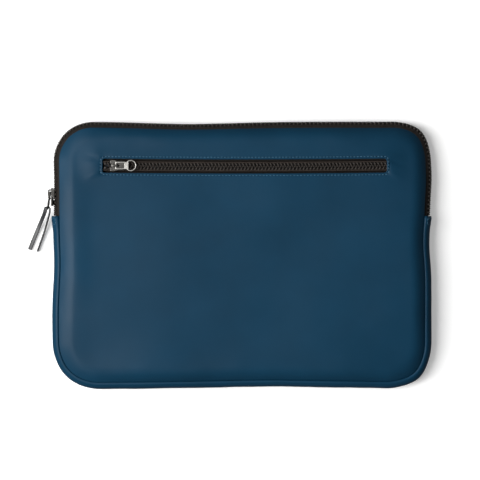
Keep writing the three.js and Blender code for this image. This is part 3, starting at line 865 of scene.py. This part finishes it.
def main_teeth(side, offset):
    along = Along(upper_run(GUSSET_TOP - 0.5, 3.0))

    def place(mark, across, up):
        angle = math.degrees(side * across * TOOTH_REACH / CHAIN_RADIUS)
        return placed(along.at(mark), *wall(CHAIN_RADIUS + up, angle))

    count = int(along.length / MAIN_PITCH - offset)
    return joined([tooth(place, (i + 0.5 + offset) * MAIN_PITCH, 1.0, 0) for i in range(count)])


def main_zip():
    tape_run = upper_run(GUSSET_TOP - 6, 3.0)
    rows = {
        "front": ("fold", 1, ["front_zip_tape", "front_zip_tape_left_end", "front_zip_tape_right_end"],
                  ["front_zip_teeth", "front_zip_teeth_left_end", "front_zip_teeth_right_end"]),
        "back": ("sleeve", -1, ["back_zip_tape"], ["back_zip_teeth"]),
    }
    for word, (body, side, tape_nodes, teeth_nodes) in rows.items():
        section = band(7.0, 7.6, *sorted((side * 16, side * 67)), 12)
        cloth = new_piece(f"{word}_main_tape", *sweep(tape_run, section), tape_look)
        settle(cloth, body, "tape", *tape_nodes)
        seam_run = upper_run(GUSSET_TOP - 2, 3.0)
        middle = wall(7.6, side * 43)
        line = [(middle[0] + 0.3 * math.cos(a), middle[1] + 0.3 * math.sin(a))
                for a in turns(8)]
        ridge = new_piece(f"{word}_main_tape_ridge", *sweep(seam_run, line), tape_look)
        settle(ridge, body, "tape")
        teeth = new_piece(f"{word}_main_teeth", *main_teeth(side, 0 if side > 0 else 0.5), teeth_look)
        settle(teeth, body, "teeth", *teeth_nodes)


def clip(x_range, section_points, name, look, body, node):
    """A small stop, pressed round a zip's end."""
    (x0, x1) = x_range
    size = len(section_points)
    cuts = [(x0, 0.7), (x0 + 0.25, 1.0), (x1 - 0.25, 1.0), (x1, 0.7)]
    cy = sum(p[0] for p in section_points) / size
    cz = sum(p[1] for p in section_points) / size
    points = [(x, cy + (y - cy) * k, cz + (z - cz) * k) for x, k in cuts for y, z in section_points]
    piece = new_piece(name, points, tube_faces(size, len(cuts)), look)
    return settle(piece, body, "teeth", node)


def main_stops():
    """Clips under the gusset's hems, one on each row at the left and one across both at the right."""
    for word, side_x, low, high, node in [
        ("main_stop_front", -1, 5.6, 24, "main_top_stop_front"),
        ("main_stop_back", -1, -24, -5.6, "main_top_stop_back"),
        ("main_stop_right", 1, -24, 24, "main_bottom_stop"),
    ]:
        run = divided([(side_x * WIDTH / 2, 31.6, side_x, 0), (side_x * WIDTH / 2, 34.6, side_x, 0)], 0.5)
        last = len(run) - 1

        def section(i):
            slim = 0.2 if i in (0, last) else 0
            return band(6.7 + slim, 8.0 - slim, low + slim, high - slim, 6)

        piece = new_piece(word, *sweep(run, section), teeth_look)
        settle(piece, "sleeve", "teeth", node)


main_zip()
main_stops()


# ---------- Pocket zip ----------

def slab_grid(xs, ys, top, thickness):
    """A closed sheet over a grid, from its upper face top(x, y) down."""
    points = [(x, y, top(x, y)) for y in ys for x in xs]
    points += [(x, y, top(x, y) - thickness) for y in ys for x in xs]
    wide, half = len(xs), len(xs) * len(ys)
    faces = []
    for i in range(len(ys) - 1):
        for j in range(wide - 1):
            a = i * wide + j
            faces += [(a, a + 1, a + wide + 1, a + wide),
                      (half + a, half + a + wide, half + a + wide + 1, half + a + 1)]
    for i in range(len(ys) - 1):
        for a in (i * wide, i * wide + wide - 1):
            faces.append((a, a + wide, half + a + wide, half + a))
    for j in range(wide - 1):
        for a in (j, (len(ys) - 1) * wide + j):
            faces.append((a, a + 1, half + a + 1, half + a))
    return points, faces


def spread(low, high, step):
    count = max(1, round((high - low) / step))
    return [low + (high - low) * i / count for i in range(count + 1)]


def pocket_tape(word, side, reach, node):
    def top(x, y):
        across = abs(y - POCKET_ZIP_Y)
        fall = 3.2 * ease(across, 4.2, 5.4) - 1.9 * ease(across, 7.2, 8.8)
        return POCKET_ZIP_Z + 0.25 - fall + 0.05 * noise.noise(Vector((x / 9, y / 9, 2)))
    offsets = [*spread(1.9, 8, 0.25), *spread(8.8, reach, 1.2)]
    ys = sorted(POCKET_ZIP_Y + side * offset for offset in offsets)
    piece = new_piece(f"pocket_tape_{word}", *slab_grid(spread(-131, 135, 2.5), ys, top, 0.6), tape_look)
    settle(piece, "front_flap", "tape", node)
    # The cord's lighter colour is a painted highlight on the raised bead.
    cord = [(3.75 + 0.45 * math.cos(a), POCKET_ZIP_Z + 0.35 + 0.4 * math.sin(a))
            for a in turns(10)]
    run = [(x, POCKET_ZIP_Y, 0, -side) for x in spread(-129, 133, 2.5)]
    settle(new_piece(f"pocket_cord_{word}", *sweep(run, cord), cord_painted_highlight_look), "front_flap", "tape")


def pocket_teeth(word, side, node):
    start = WINDOW[0] + 4.4
    count = int((WINDOW[1] + 2 - start) / POCKET_PITCH)
    shift = 0.5 if side < 0 else 0

    def place(mark, across, up):
        return (start + mark, POCKET_ZIP_Y + side * across, POCKET_ZIP_Z + up)

    parts = [tooth(place, (i + 0.5 + shift) * POCKET_PITCH, 0.92, 0.42) for i in range(count)]
    settle(new_piece(f"pocket_row_{word}", *joined(parts), teeth_look), "front_flap", "teeth", node)


def rounded_box_section(y0, y1, z0, z1, chamfer=0.35):
    return [(y0 + chamfer, z0), (y1 - chamfer, z0), (y1, z0 + chamfer), (y1, z1 - chamfer),
            (y1 - chamfer, z1), (y0 + chamfer, z1), (y0, z1 - chamfer), (y0, z0 + chamfer)]


def pocket_zip():
    pocket_tape("lower", -1, 13.4, "pocket_zip_tape_lower")
    pocket_tape("upper", 1, 14, "pocket_zip_tape_upper")
    pocket_teeth("lower", -1, "pocket_teeth_lower")
    pocket_teeth("upper", 1, "pocket_teeth_upper")
    for word, side in (("lower", -1), ("upper", 1)):
        y0, y1 = sorted(POCKET_ZIP_Y + side * offset for offset in (0.7, 3.0))
        section = rounded_box_section(y0, y1, POCKET_ZIP_Z - 1.05, POCKET_ZIP_Z + 1.05)
        name, node = f"pocket_stop_{word}", f"pocket_top_stop_{word}"
        clip((-123.6, -121.2), section, name, teeth_look, "front_flap", node)
    low, high = POCKET_ZIP_Z - 0.95, POCKET_ZIP_Z + 0.35
    section = rounded_box_section(POCKET_ZIP_Y - 2.8, POCKET_ZIP_Y + 2.8, low, high)
    clip((129.4, 132.1), section, "pocket_stop_end", teeth_look, "front_flap", "pocket_bottom_stop")


pocket_zip()


# ---------- Sliders and pulls ----------

def cutout(outline, holes, low, high, bevel):
    """(points, faces) of a plate cut to an outline, with holes, its edges rounded."""
    curve = bpy.data.curves.new("cutout", "CURVE")
    curve.dimensions, curve.fill_mode = "2D", "BOTH"
    curve.extrude = (high - low) / 2 - bevel
    curve.bevel_depth, curve.bevel_resolution, curve.offset = bevel, 2, -bevel
    for loop in [outline, *holes]:
        spline = curve.splines.new("POLY")
        spline.points.add(len(loop) - 1)
        for point, (x, y) in zip(spline.points, loop):
            point.co = (x, y, 0, 1)
        spline.use_cyclic_u = True
    holder = bpy.data.objects.new("cutout", curve)
    mesh = bpy.data.meshes.new_from_object(holder)
    middle = (low + high) / 2
    points = [(v.co.x, v.co.y, v.co.z + middle) for v in mesh.vertices]
    faces = [tuple(polygon.vertices) for polygon in mesh.polygons]
    bpy.data.objects.remove(holder)
    return points, faces


def bent(start, middle, end, steps=6):
    """A quadratic curve from start towards middle to end, without its first point."""
    made = []
    for i in range(1, steps + 1):
        t = i / steps
        made.append(tuple((1 - t) ** 2 * a + 2 * t * (1 - t) * b + t * t * c
                          for a, b, c in zip(start, middle, end)))
    return made


def arc_points(cx, cy, radius, start, end, steps):
    angles = [math.radians(start + (end - start) * i / steps) for i in range(steps + 1)]
    return [(cx + radius * math.cos(angle), cy + radius * math.sin(angle)) for angle in angles]


def plan(length, narrow, wide):
    """A slider's plate: two lobes at the wide end, a waist, and a rounded narrow end."""
    end = length / 2
    side = [(-end + 1.0, -wide / 2)]
    side += bent(side[-1], (-end + 0.36 * length, -wide / 2), (-0.2, -narrow / 2))
    side += [(end - 1.5, -narrow / 2)]
    side += bent(side[-1], (end, -narrow / 2), (end, -narrow / 2 + 1.5), 4)
    lobe = [(-end + 2.1, 0.9)]
    lobe += bent(lobe[-1], (-end + 0.9, 1.5), (-end, 2.1), 4)
    lobe += [(-end, wide / 2 - 1.0)]
    lobe += bent(lobe[-1], (-end, wide / 2), (-end + 1.0, wide / 2), 4)[:-1]
    mirrored = [(x, -y) for x, y in side]
    return [*side, *mirrored[::-1], *lobe[::-1], *[(x, -y) for x, y in lobe]]


def slider_parts(dims):
    low, high = dims["channel"]
    plates = [
        cutout(plan(dims["length"], dims["narrow"], dims["wide"]), [], high, high + dims["plate"], 0.4),
        cutout(plan(dims["length"], dims["inner"][0], dims["inner"][1]), [], low - 1.4, low, 0.35),
    ]
    nose = -dims["length"] / 2 + 1.2
    post = [(nose, -0.3), (nose + 3.6, -0.3), (nose + 3.9, 0), (nose + 3.6, 0.3), (nose, 0.3)]
    plates.append(cutout(post, [], low - 0.4, high + 0.4, 0.1))
    end = dims["length"] / 2 - 0.9
    for side in (-1, 1):
        y0, y1 = sorted(side * (dims["narrow"] / 2 - d) for d in (0.85, 0.02))
        rail = [(-0.3, y0), (end, y0), (end, y1), (-0.3, y1)]
        plates.append(cutout(rail, [], high - dims["rail"], high + 0.6, 0.25))
    return joined(plates)


def crown_parts(dims):
    """The arch that holds the tab, drawn sideways and then stood up."""
    face = dims["channel"][1] + dims["plate"]
    start, end = dims["crown"]
    top, foot, room = 3.0, 1.3, 2.0
    outline = [(start, -0.1), (start + foot, -0.1)]
    outline += [(start + foot, room - 0.5)]
    outline += bent(outline[-1], (start + foot, room), (start + foot + 0.6, room), 3)
    outline += [(end - foot - 0.6, room)]
    outline += bent(outline[-1], (end - foot, room), (end - foot, room - 0.5), 3)
    outline += [(end - foot, -0.1), (end, -0.1), (end, top - 1.5)]
    outline += bent(outline[-1], (end - 0.1, top), (end - 2.0, top), 6)
    outline += [(start + 2.0, top)]
    outline += bent(outline[-1], (start + 0.1, top), (start, top - 1.5), 6)
    points, faces = cutout(outline, [], -1.1, 1.1, 0.35)
    return [(x, -z, y + face) for x, y, z in points], faces


def tab_parts(dims):
    """The bar is centred on the origin and the eye lies towards +x."""
    slot_end, eye_start, eye = dims["slot_end"], dims["eye_start"], dims["eye"]
    ring = 5.1
    outline = [(-0.2, -3.5), (slot_end - 0.4, -3.3)]
    meet = (eye + ring * math.cos(math.radians(-120)), ring * math.sin(math.radians(-120)))
    outline += bent(outline[-1], (eye_start - 1.4, -3.1), meet, 6)
    outline += arc_points(eye, 0, ring, -120, 120, 40)[1:]
    outline += bent(outline[-1], (eye_start - 1.4, 3.1), (slot_end - 0.4, 3.3), 6)
    outline += [(-0.2, 3.5)]
    outline += bent(outline[-1], (-0.65, 3.5), (-0.65, 2.9), 3)
    outline += [(-0.65, -2.9)]
    outline += bent(outline[-1], (-0.65, -3.5), (-0.2, -3.5), 3)[:-1]
    slot = [(0.65, -2.0), *bent((0.65, -2.0), (0.65, -2.2), (0.9, -2.2), 3),
            (slot_end - 0.4, -2.1), *bent((slot_end - 0.4, -2.1), (slot_end, -2.1), (slot_end, -1.7), 3),
            (slot_end, 1.7), *bent((slot_end, 1.7), (slot_end, 2.1), (slot_end - 0.4, 2.1), 3),
            (0.9, 2.2), *bent((0.9, 2.2), (0.65, 2.2), (0.65, 2.0), 3)]
    flat = math.degrees(math.acos(max(-1, (eye_start - eye) / 4)))
    hole = arc_points(eye, 0, 4.0, -flat, flat, 36)
    return cutout(outline, [slot, hole], -0.7, 0.7, 0.55)


MAIN = {
    "length": 16, "narrow": 9.9, "wide": 11.4, "plate": 1.9, "channel": (-2.25, 1.9), "inner": (7.8, 8.2),
    "rail": 1.7, "crown": (-1.9, 6.9), "slot_end": 6.9, "eye_start": 8.9, "eye": 10.7,
    "pivot": 4.3, "open": 172,
}
POCKET = {
    "length": 13, "narrow": 8.6, "wide": 10.2, "plate": 1.4, "channel": (-1.5, 1.5), "inner": (8.6, 10.2),
    "rail": 0.85, "crown": (-5.8, 1.2), "slot_end": 7.4, "eye_start": 11.4, "eye": 13.2,
    "pivot": -1.2, "open": 0,
}
MAIN_AXES = Matrix(((0, 0, -1), (1, 0, 0), (0, -1, 0)))


def stood(part, axes, origin):
    """A slider's part, turned and moved from its own axes to its place on the sleeve."""
    points, faces = part
    return [tuple(axes @ Vector(point) + Vector(origin)) for point in points], faces


def tab_turn(dims):
    return Matrix.Rotation(math.radians(-dims["open"]), 3, "Y")


def add_slider(word, dims, axes, origin, look, pull_look):
    pivot = Vector((dims["pivot"], 0, dims["channel"][1] + dims["plate"] + 1))
    pieces = [
        ("slider", slider_parts(dims), f"{word}_slider", f"{word}_slider_body"),
        ("bridge", crown_parts(dims), f"{word}_slider", f"{word}_slider_crown"),
        ("tab", stood(tab_parts(dims), tab_turn(dims), pivot), f"{word}_pull", f"{word}_pull_tab"),
    ]
    for part_word, part, body, node in pieces:
        metal = pull_look if part_word == "tab" else look
        piece = new_piece(f"{word}_{part_word}", *stood(part, axes, origin), metal, exact=True)
        piece.data.set_sharp_from_angle(angle=math.radians(38))
        settle(piece, body, "metal", node)


add_slider("pocket", POCKET, Matrix.Identity(3), POCKET_SLIDER, slider_painted_shade_look, tab_look)
add_slider("main", MAIN, MAIN_AXES, MAIN_SLIDER, dark_metal_look, dark_metal_look)


# ---------- Thong ----------

LACE_WIDTH, LACE_THICK = 3.5, 1.2


def eye_rim():
    """The middle of the rim at the far end of the main tab's eye."""
    reach = tab_turn(MAIN) @ Vector((MAIN["eye"] + 4 + 0.55, 0, 0))
    local = reach + Vector((MAIN["pivot"], 0, MAIN["channel"][1] + MAIN["plate"] + 1))
    return MAIN_AXES @ local + Vector(MAIN_SLIDER)


def smooth_line(points, per_step=6):
    """A Catmull-Rom line through the points."""
    made = []
    padded = [points[0] * 2 - points[1], *points, points[-1] * 2 - points[-2]]
    for a, b, c, d in zip(padded, padded[1:], padded[2:], padded[3:]):
        for i in range(per_step):
            t = i / per_step
            made.append(0.5 * ((2 * b) + (c - a) * t + (2 * a - 5 * b + 4 * c - d) * t * t
                               + (3 * b - a - 3 * c + d) * t ** 3))
    return [*made, points[-1]]


def lace(name, line, twist, look):
    """A flat lace along a line. twist(share) turns its width from upright, in degrees."""
    up = Vector((0, 0, 1))
    half_w, half_t = LACE_WIDTH / 2, LACE_THICK / 2
    ring = [(half_w - 0.35, -half_t), (half_w - 0.1, -half_t + 0.12), (half_w, -0.2), (half_w, 0.2),
            (half_w - 0.1, half_t - 0.12), (half_w - 0.35, half_t), (0, half_t * 1.04),
            (-half_w + 0.35, half_t), (-half_w + 0.1, half_t - 0.12), (-half_w, 0.2), (-half_w, -0.2),
            (-half_w + 0.1, -half_t + 0.12), (-half_w + 0.35, -half_t), (0, -half_t * 1.04)]
    points = []
    for i, point in enumerate(line):
        along = (line[min(i + 1, len(line) - 1)] - line[max(0, i - 1)]).normalized()
        across = up.cross(along).normalized()
        upright = along.cross(across)
        turn = Matrix.Rotation(math.radians(twist(i / (len(line) - 1))), 3, along)
        wide, thin = turn @ upright, turn @ across
        points += [tuple(point + wide * u + thin * v) for u, v in ring]
    return new_piece(name, points, tube_faces(len(ring), len(line)), look, exact=True)


def line_length(line):
    return sum((b - a).length for a, b in zip(line, line[1:]))


def thong():
    """Both halves of the lace start at the loop's top, inside the eye, and end at a cut tip."""
    rim = eye_rim()
    bend = 1.9
    outer_tail = [(-2.9, -3.4, -1.6), (-5.4, -8.8, -6.0), (-9.4, -17.6, -10.0), (-13.6, -27.6, -11.3),
                  (-17.2, -36.6, -11.5)]
    inner_tail = [(1.5, -3.6, -1.6), (-0.4, -9.8, -6.2), (-3.6, -20, -10.2), (-7.2, -30, -11),
                  (-10.2, -38.4, -11)]
    quarter = [math.pi * (0.5 + i / 8) for i in range(5)]
    outer_loop = [(bend * math.cos(a), bend * math.sin(a), 0) for a in quarter]
    inner_loop = [(-x, y, z) for x, y, z in outer_loop]
    for word, loop, tail, twist in [
        ("outer", outer_loop, outer_tail, lambda share: -71 * ease(share, 0.12, 0.4)),
        ("inner", inner_loop, inner_tail, lambda share: -14 * ease(share, 0.15, 0.6)),
    ]:
        line = smooth_line([rim + Vector(point) for point in [*loop, *tail]])
        piece = lace(f"thong_{word}", line, twist, lace_look)
        settle(piece, "thong", "thong", *(["pull_thong"] if word == "outer" else []))
        line_length(line) * MM


thong()


# ---------- Stitches ----------

def stitch(start, end, up, thick=0.24):
    """A short run of thread that leaves the surface at one end and dives at the other."""
    along = end - start
    side = up.cross(along).normalized()
    points = []
    shape = [(0.0, -0.30, 0.7), (0.12, 0.0, 0.95), (0.35, 0.16, 1.0),
             (0.65, 0.16, 1.0), (0.88, 0.0, 0.95), (1.0, -0.30, 0.7)]
    for share, rise, size in shape:
        middle = start + along * share + up * rise
        for angle in turns(6):
            points.append(tuple(middle + (side * math.cos(angle) + up * math.sin(angle)) * thick * size))
    return points, tube_faces(6, len(shape))


STITCH_PITCH = 3.05


def needle_hole(x, y, radius=0.78):
    """The pit where the thread goes down: a shallow dish, coloured dark as painted shade in the pit."""
    base = front_height(x, y) - 0.24
    points = [(x, y, base + 0.02)]
    for share, rise in ((0.6, 0.05), (1.0, 0.03)):
        points += [(x + radius * share * math.cos(a), y + radius * share * math.sin(a), base + rise)
                   for a in turns(8)]
    faces = [(0, 1 + i, 1 + (i + 1) % 8) for i in range(8)]
    faces += [(1 + i, 9 + i, 9 + (i + 1) % 8, 1 + (i + 1) % 8) for i in range(8)]
    return points, faces


def window_stitches():
    left, right, low, high = WINDOW
    offset, radius = 1.9, 3.5
    x0, x1, y0, y1 = left - offset, right + offset, low - offset, high + offset
    loop = []
    for cx, cy, start in [(x1 - radius, y0 + radius, -90), (x1 - radius, y1 - radius, 0),
                          (x0 + radius, y1 - radius, 90), (x0 + radius, y0 + radius, 180)]:
        loop += [(x, y, 0, 0) for x, y in arc_points(cx, cy, radius, start, start + 90, 8)]
    along = Along([*loop, loop[0]])
    count = round(along.length / STITCH_PITCH)
    step = along.length / count
    parts, holes = [], []
    for i in range(count):
        ends = [along.at((i + share) * step) for share in (0.18, 0.82)]
        start, end = (Vector((x, y, front_height(x, y) - 0.1)) for x, y, _, _ in ends)
        parts.append(stitch(start, end, Vector((0, 0, 1)), 0.34))
        holes.append(needle_hole(*along.at(i * step)[:2]))
    settle(new_piece("window_stitching", *joined(parts), thread_look), "front_flap", "skin")
    settle(new_piece("window_needle_holes", *joined(holes), needle_hole_shade_look), "front_flap", "skin")


def hem_place(side, from_end, angle):
    at = (side * WIDTH / 2, GUSSET_TOP - from_end, side, 0)
    return Vector(placed(at, *wall(hem_radius(side, from_end) + 0.12, angle)))


def hem_stitch(side, start, end):
    """A stitch on a hem, between two places given as (distance from the hem's end, angle)."""
    middle = math.radians((start[1] + end[1]) / 2)
    up = Vector((side * math.cos(middle), 0, math.sin(middle)))
    return stitch(hem_place(side, *start), hem_place(side, *end), up, 0.26)


def hem_stitches():
    """A box of stitches across each folded end of the gusset."""
    parts = []
    for side in (-1, 1):
        for from_end in (1.8, 7.4):
            for angle in range(-48, 48, 12):
                parts.append(hem_stitch(side, (from_end, angle + 1.2), (from_end, angle + 10.8)))
        for angle in (-50, 50):
            parts += [hem_stitch(side, (low, angle), (low + 2.2, angle)) for low in (2.1, 4.9)]
    settle(new_piece("hem_stitching", *joined(parts), thread_look), "sleeve", "skin")


window_stitches()
hem_stitches()


# ---------- Inside ----------

def pad(name, top, bottom, inset, look):
    """A closed pad between two heights, with upright walls."""
    upper, faces = panel_grid(top, inset)
    lower, _ = panel_grid(bottom, inset)
    count = len(upper)
    probe = bpy.data.meshes.new("probe")
    probe.from_pydata(upper, [], faces)
    edge = boundary_loops(probe)[0]
    walls = [(a, b, count + b, count + a) for a, b in zip(edge, [*edge[1:], edge[0]])]
    under = [tuple(count + v for v in reversed(face)) for face in faces]
    return new_piece(name, upper + lower, [*faces, *under, *walls], look)


def inner_face(level, lift, way):
    """A lining's face: flat, and drawn towards its seam along the edge."""
    def height(x, y):
        inset = inset_at(x, y)
        wave = 0.12 * noise.noise(Vector((x / 22, y / 22, level)))
        return level + way * lift * (1 - ease(inset, 7.5, 15)) + wave
    return height


def back_foam_floor(x, y):
    return min(3.9, 1.4 + back_height(x, y))


def layers():
    back = pad("back_padding", lambda x, y: 4.15, back_foam_floor, 9.6, foam_look)
    settle(back, "sleeve", "foam", "back_foam")
    front = pad("front_padding", lambda x, y: 20.45, lambda x, y: 17.6, 9.6, foam_look)
    settle(front, "fold", "foam", "front_foam_lower", "front_foam_upper")
    for word, level, lift, way, body, nodes in [
        ("back", 4.85, 1.6, 1, "sleeve", ["back_lining"]),
        ("front", 17.2, 1.7, 1, "fold", ["front_lining_lower", "front_lining_upper"]),
    ]:
        face = inner_face(level, lift, way)
        upper, under = (lambda x, y: face(x, y) + 0.25), (lambda x, y: face(x, y) - 0.25)
        inner = pad(f"{word}_inner_lining", upper, under, 7.6, lining_look)
        settle(inner, body, "lining", *nodes)
    wall_run = lower_run(GUSSET_TOP - 6.5, 4.0)
    side = new_piece("side_lining", *sweep(wall_run, band(6.4, 7.7, -46, 46, 14)), lining_look)
    settle(side, "sleeve", "lining", "gusset_lining")


def bindings():
    for word, low, high, body, nodes in [
        ("front", 17.5, 19.1, "fold", ["front_binding_lower", "front_binding_upper"]),
        ("back", 7.1, 8.7, "sleeve", ["back_binding"]),
    ]:
        middle = (low + high) / 2
        angles = turns(12)
        section = [(7.85 + 0.95 * math.cos(a), middle + 0.8 * math.sin(a)) for a in angles]
        shape = sweep(closed_run(3.0), section, ring=True)
        piece = new_piece(f"{word}_seam_binding", *shape, binding_look)
        settle(piece, body, "tape", *nodes)


def pocket_bag():
    """One cloth, folded at the bottom and closed at its sides, open at the zip."""
    line = [(66.8, 25.05), (64, 25.3), (60, 25.55)]
    line += [(y, 25.6) for y in spread(58, -84, 4)]
    line += [(-87.6, 25.1), (-89.6, 24.0), (-90, 23.1), (-89.6, 22.2), (-87.6, 21.1)]
    line += [(y, 20.75) for y in [*spread(-84, 58, 4), *spread(59, 74, 1.5), *spread(76, 90, 4)]]
    line += [(93.0, 21.2), (94.4, 22.6), (94.2, 24.2), (93.6, 25.0)]
    xs = [*spread(-138, -131, 1), *spread(-128, 128, 6), *spread(131, 138, 1)]
    middle = 23.1
    points = []
    for y, z in line:
        for x in xs:
            over = max(0, (abs(x) - 131) / 7.2)
            shut = math.sqrt(max(0, 1 - over * over))
            wave = 0.08 * noise.noise(Vector((x / 18, y / 18, z)))
            height = middle + (z - middle) * shut + wave
            points.append((x, y, min(height, front_height(x, y) - 1.4)))
    wide = len(xs)
    faces = [(i * wide + j, i * wide + j + 1, (i + 1) * wide + j + 1, (i + 1) * wide + j)
             for i in range(len(line) - 1) for j in range(wide - 1)]
    piece = new_piece("pocket_bag", points, faces, lining_look)
    settle(piece, "fold", "lining", "pocket_bag_front", "pocket_bag_back_lower", "pocket_bag_back_upper")


layers()
bindings()
pocket_bag()


# ---------- Floor and light ----------

def add_floor():
    mesh = bpy.data.meshes.new("floor")
    corners = ((-9, -9), (9, -9), (9, 9), (-9, 9))
    mesh.from_pydata([(x, y, -0.0003) for x, y in corners], [], [(0, 1, 2, 3)])
    floor = bpy.data.objects.new("floor", mesh)
    bpy.context.collection.objects.link(floor)
    look = Shader("floor_look", (0.93, 0.93, 0.925), 0.8, Specular_IOR_Level=0.0)
    look.surface.inputs["Emission Color"].default_value = (1, 1, 1, 1)
    look.surface.inputs["Emission Strength"].default_value = 0.3
    look.tint(look.noise(4), (0.925, 0.925, 0.92), (0.935, 0.935, 0.93))
    mesh.materials.append(look.material)
    floor.visible_diffuse = floor.visible_glossy = False


def add_light(name, place, size, power):
    light = bpy.data.lights.new(name, "AREA")
    light.shape, light.energy = "RECTANGLE", power
    light.size, light.size_y = size
    holder = bpy.data.objects.new(name, light)
    bpy.context.collection.objects.link(holder)
    holder.location = place
    holder.rotation_mode = "QUATERNION"
    holder.rotation_quaternion = (-Vector(place)).to_track_quat("-Z", "Y")
    return holder


def add_lights():
    world = bpy.data.worlds.new("studio")
    bpy.context.scene.world = world
    world.use_nodes = True
    world.node_tree.nodes["Background"].inputs["Color"].default_value = (1, 1, 1, 1)
    world.node_tree.nodes["Background"].inputs["Strength"].default_value = 0.17
    add_light("key", (-1.47, -0.06, 1.63), (1.1, 2.25), 77)
    # Two weak lights that show only as sheen, round the corners of the left side
    for name, y, power in (("glow_above", 1.15, 16), ("glow_below", -1.15, 8)):
        add_light(name, (-1.0, y, 1.6), (0.8, 0.8), power).visible_diffuse = False
    bpy.context.scene.view_settings.view_transform = "Standard"


add_floor()
add_lights()
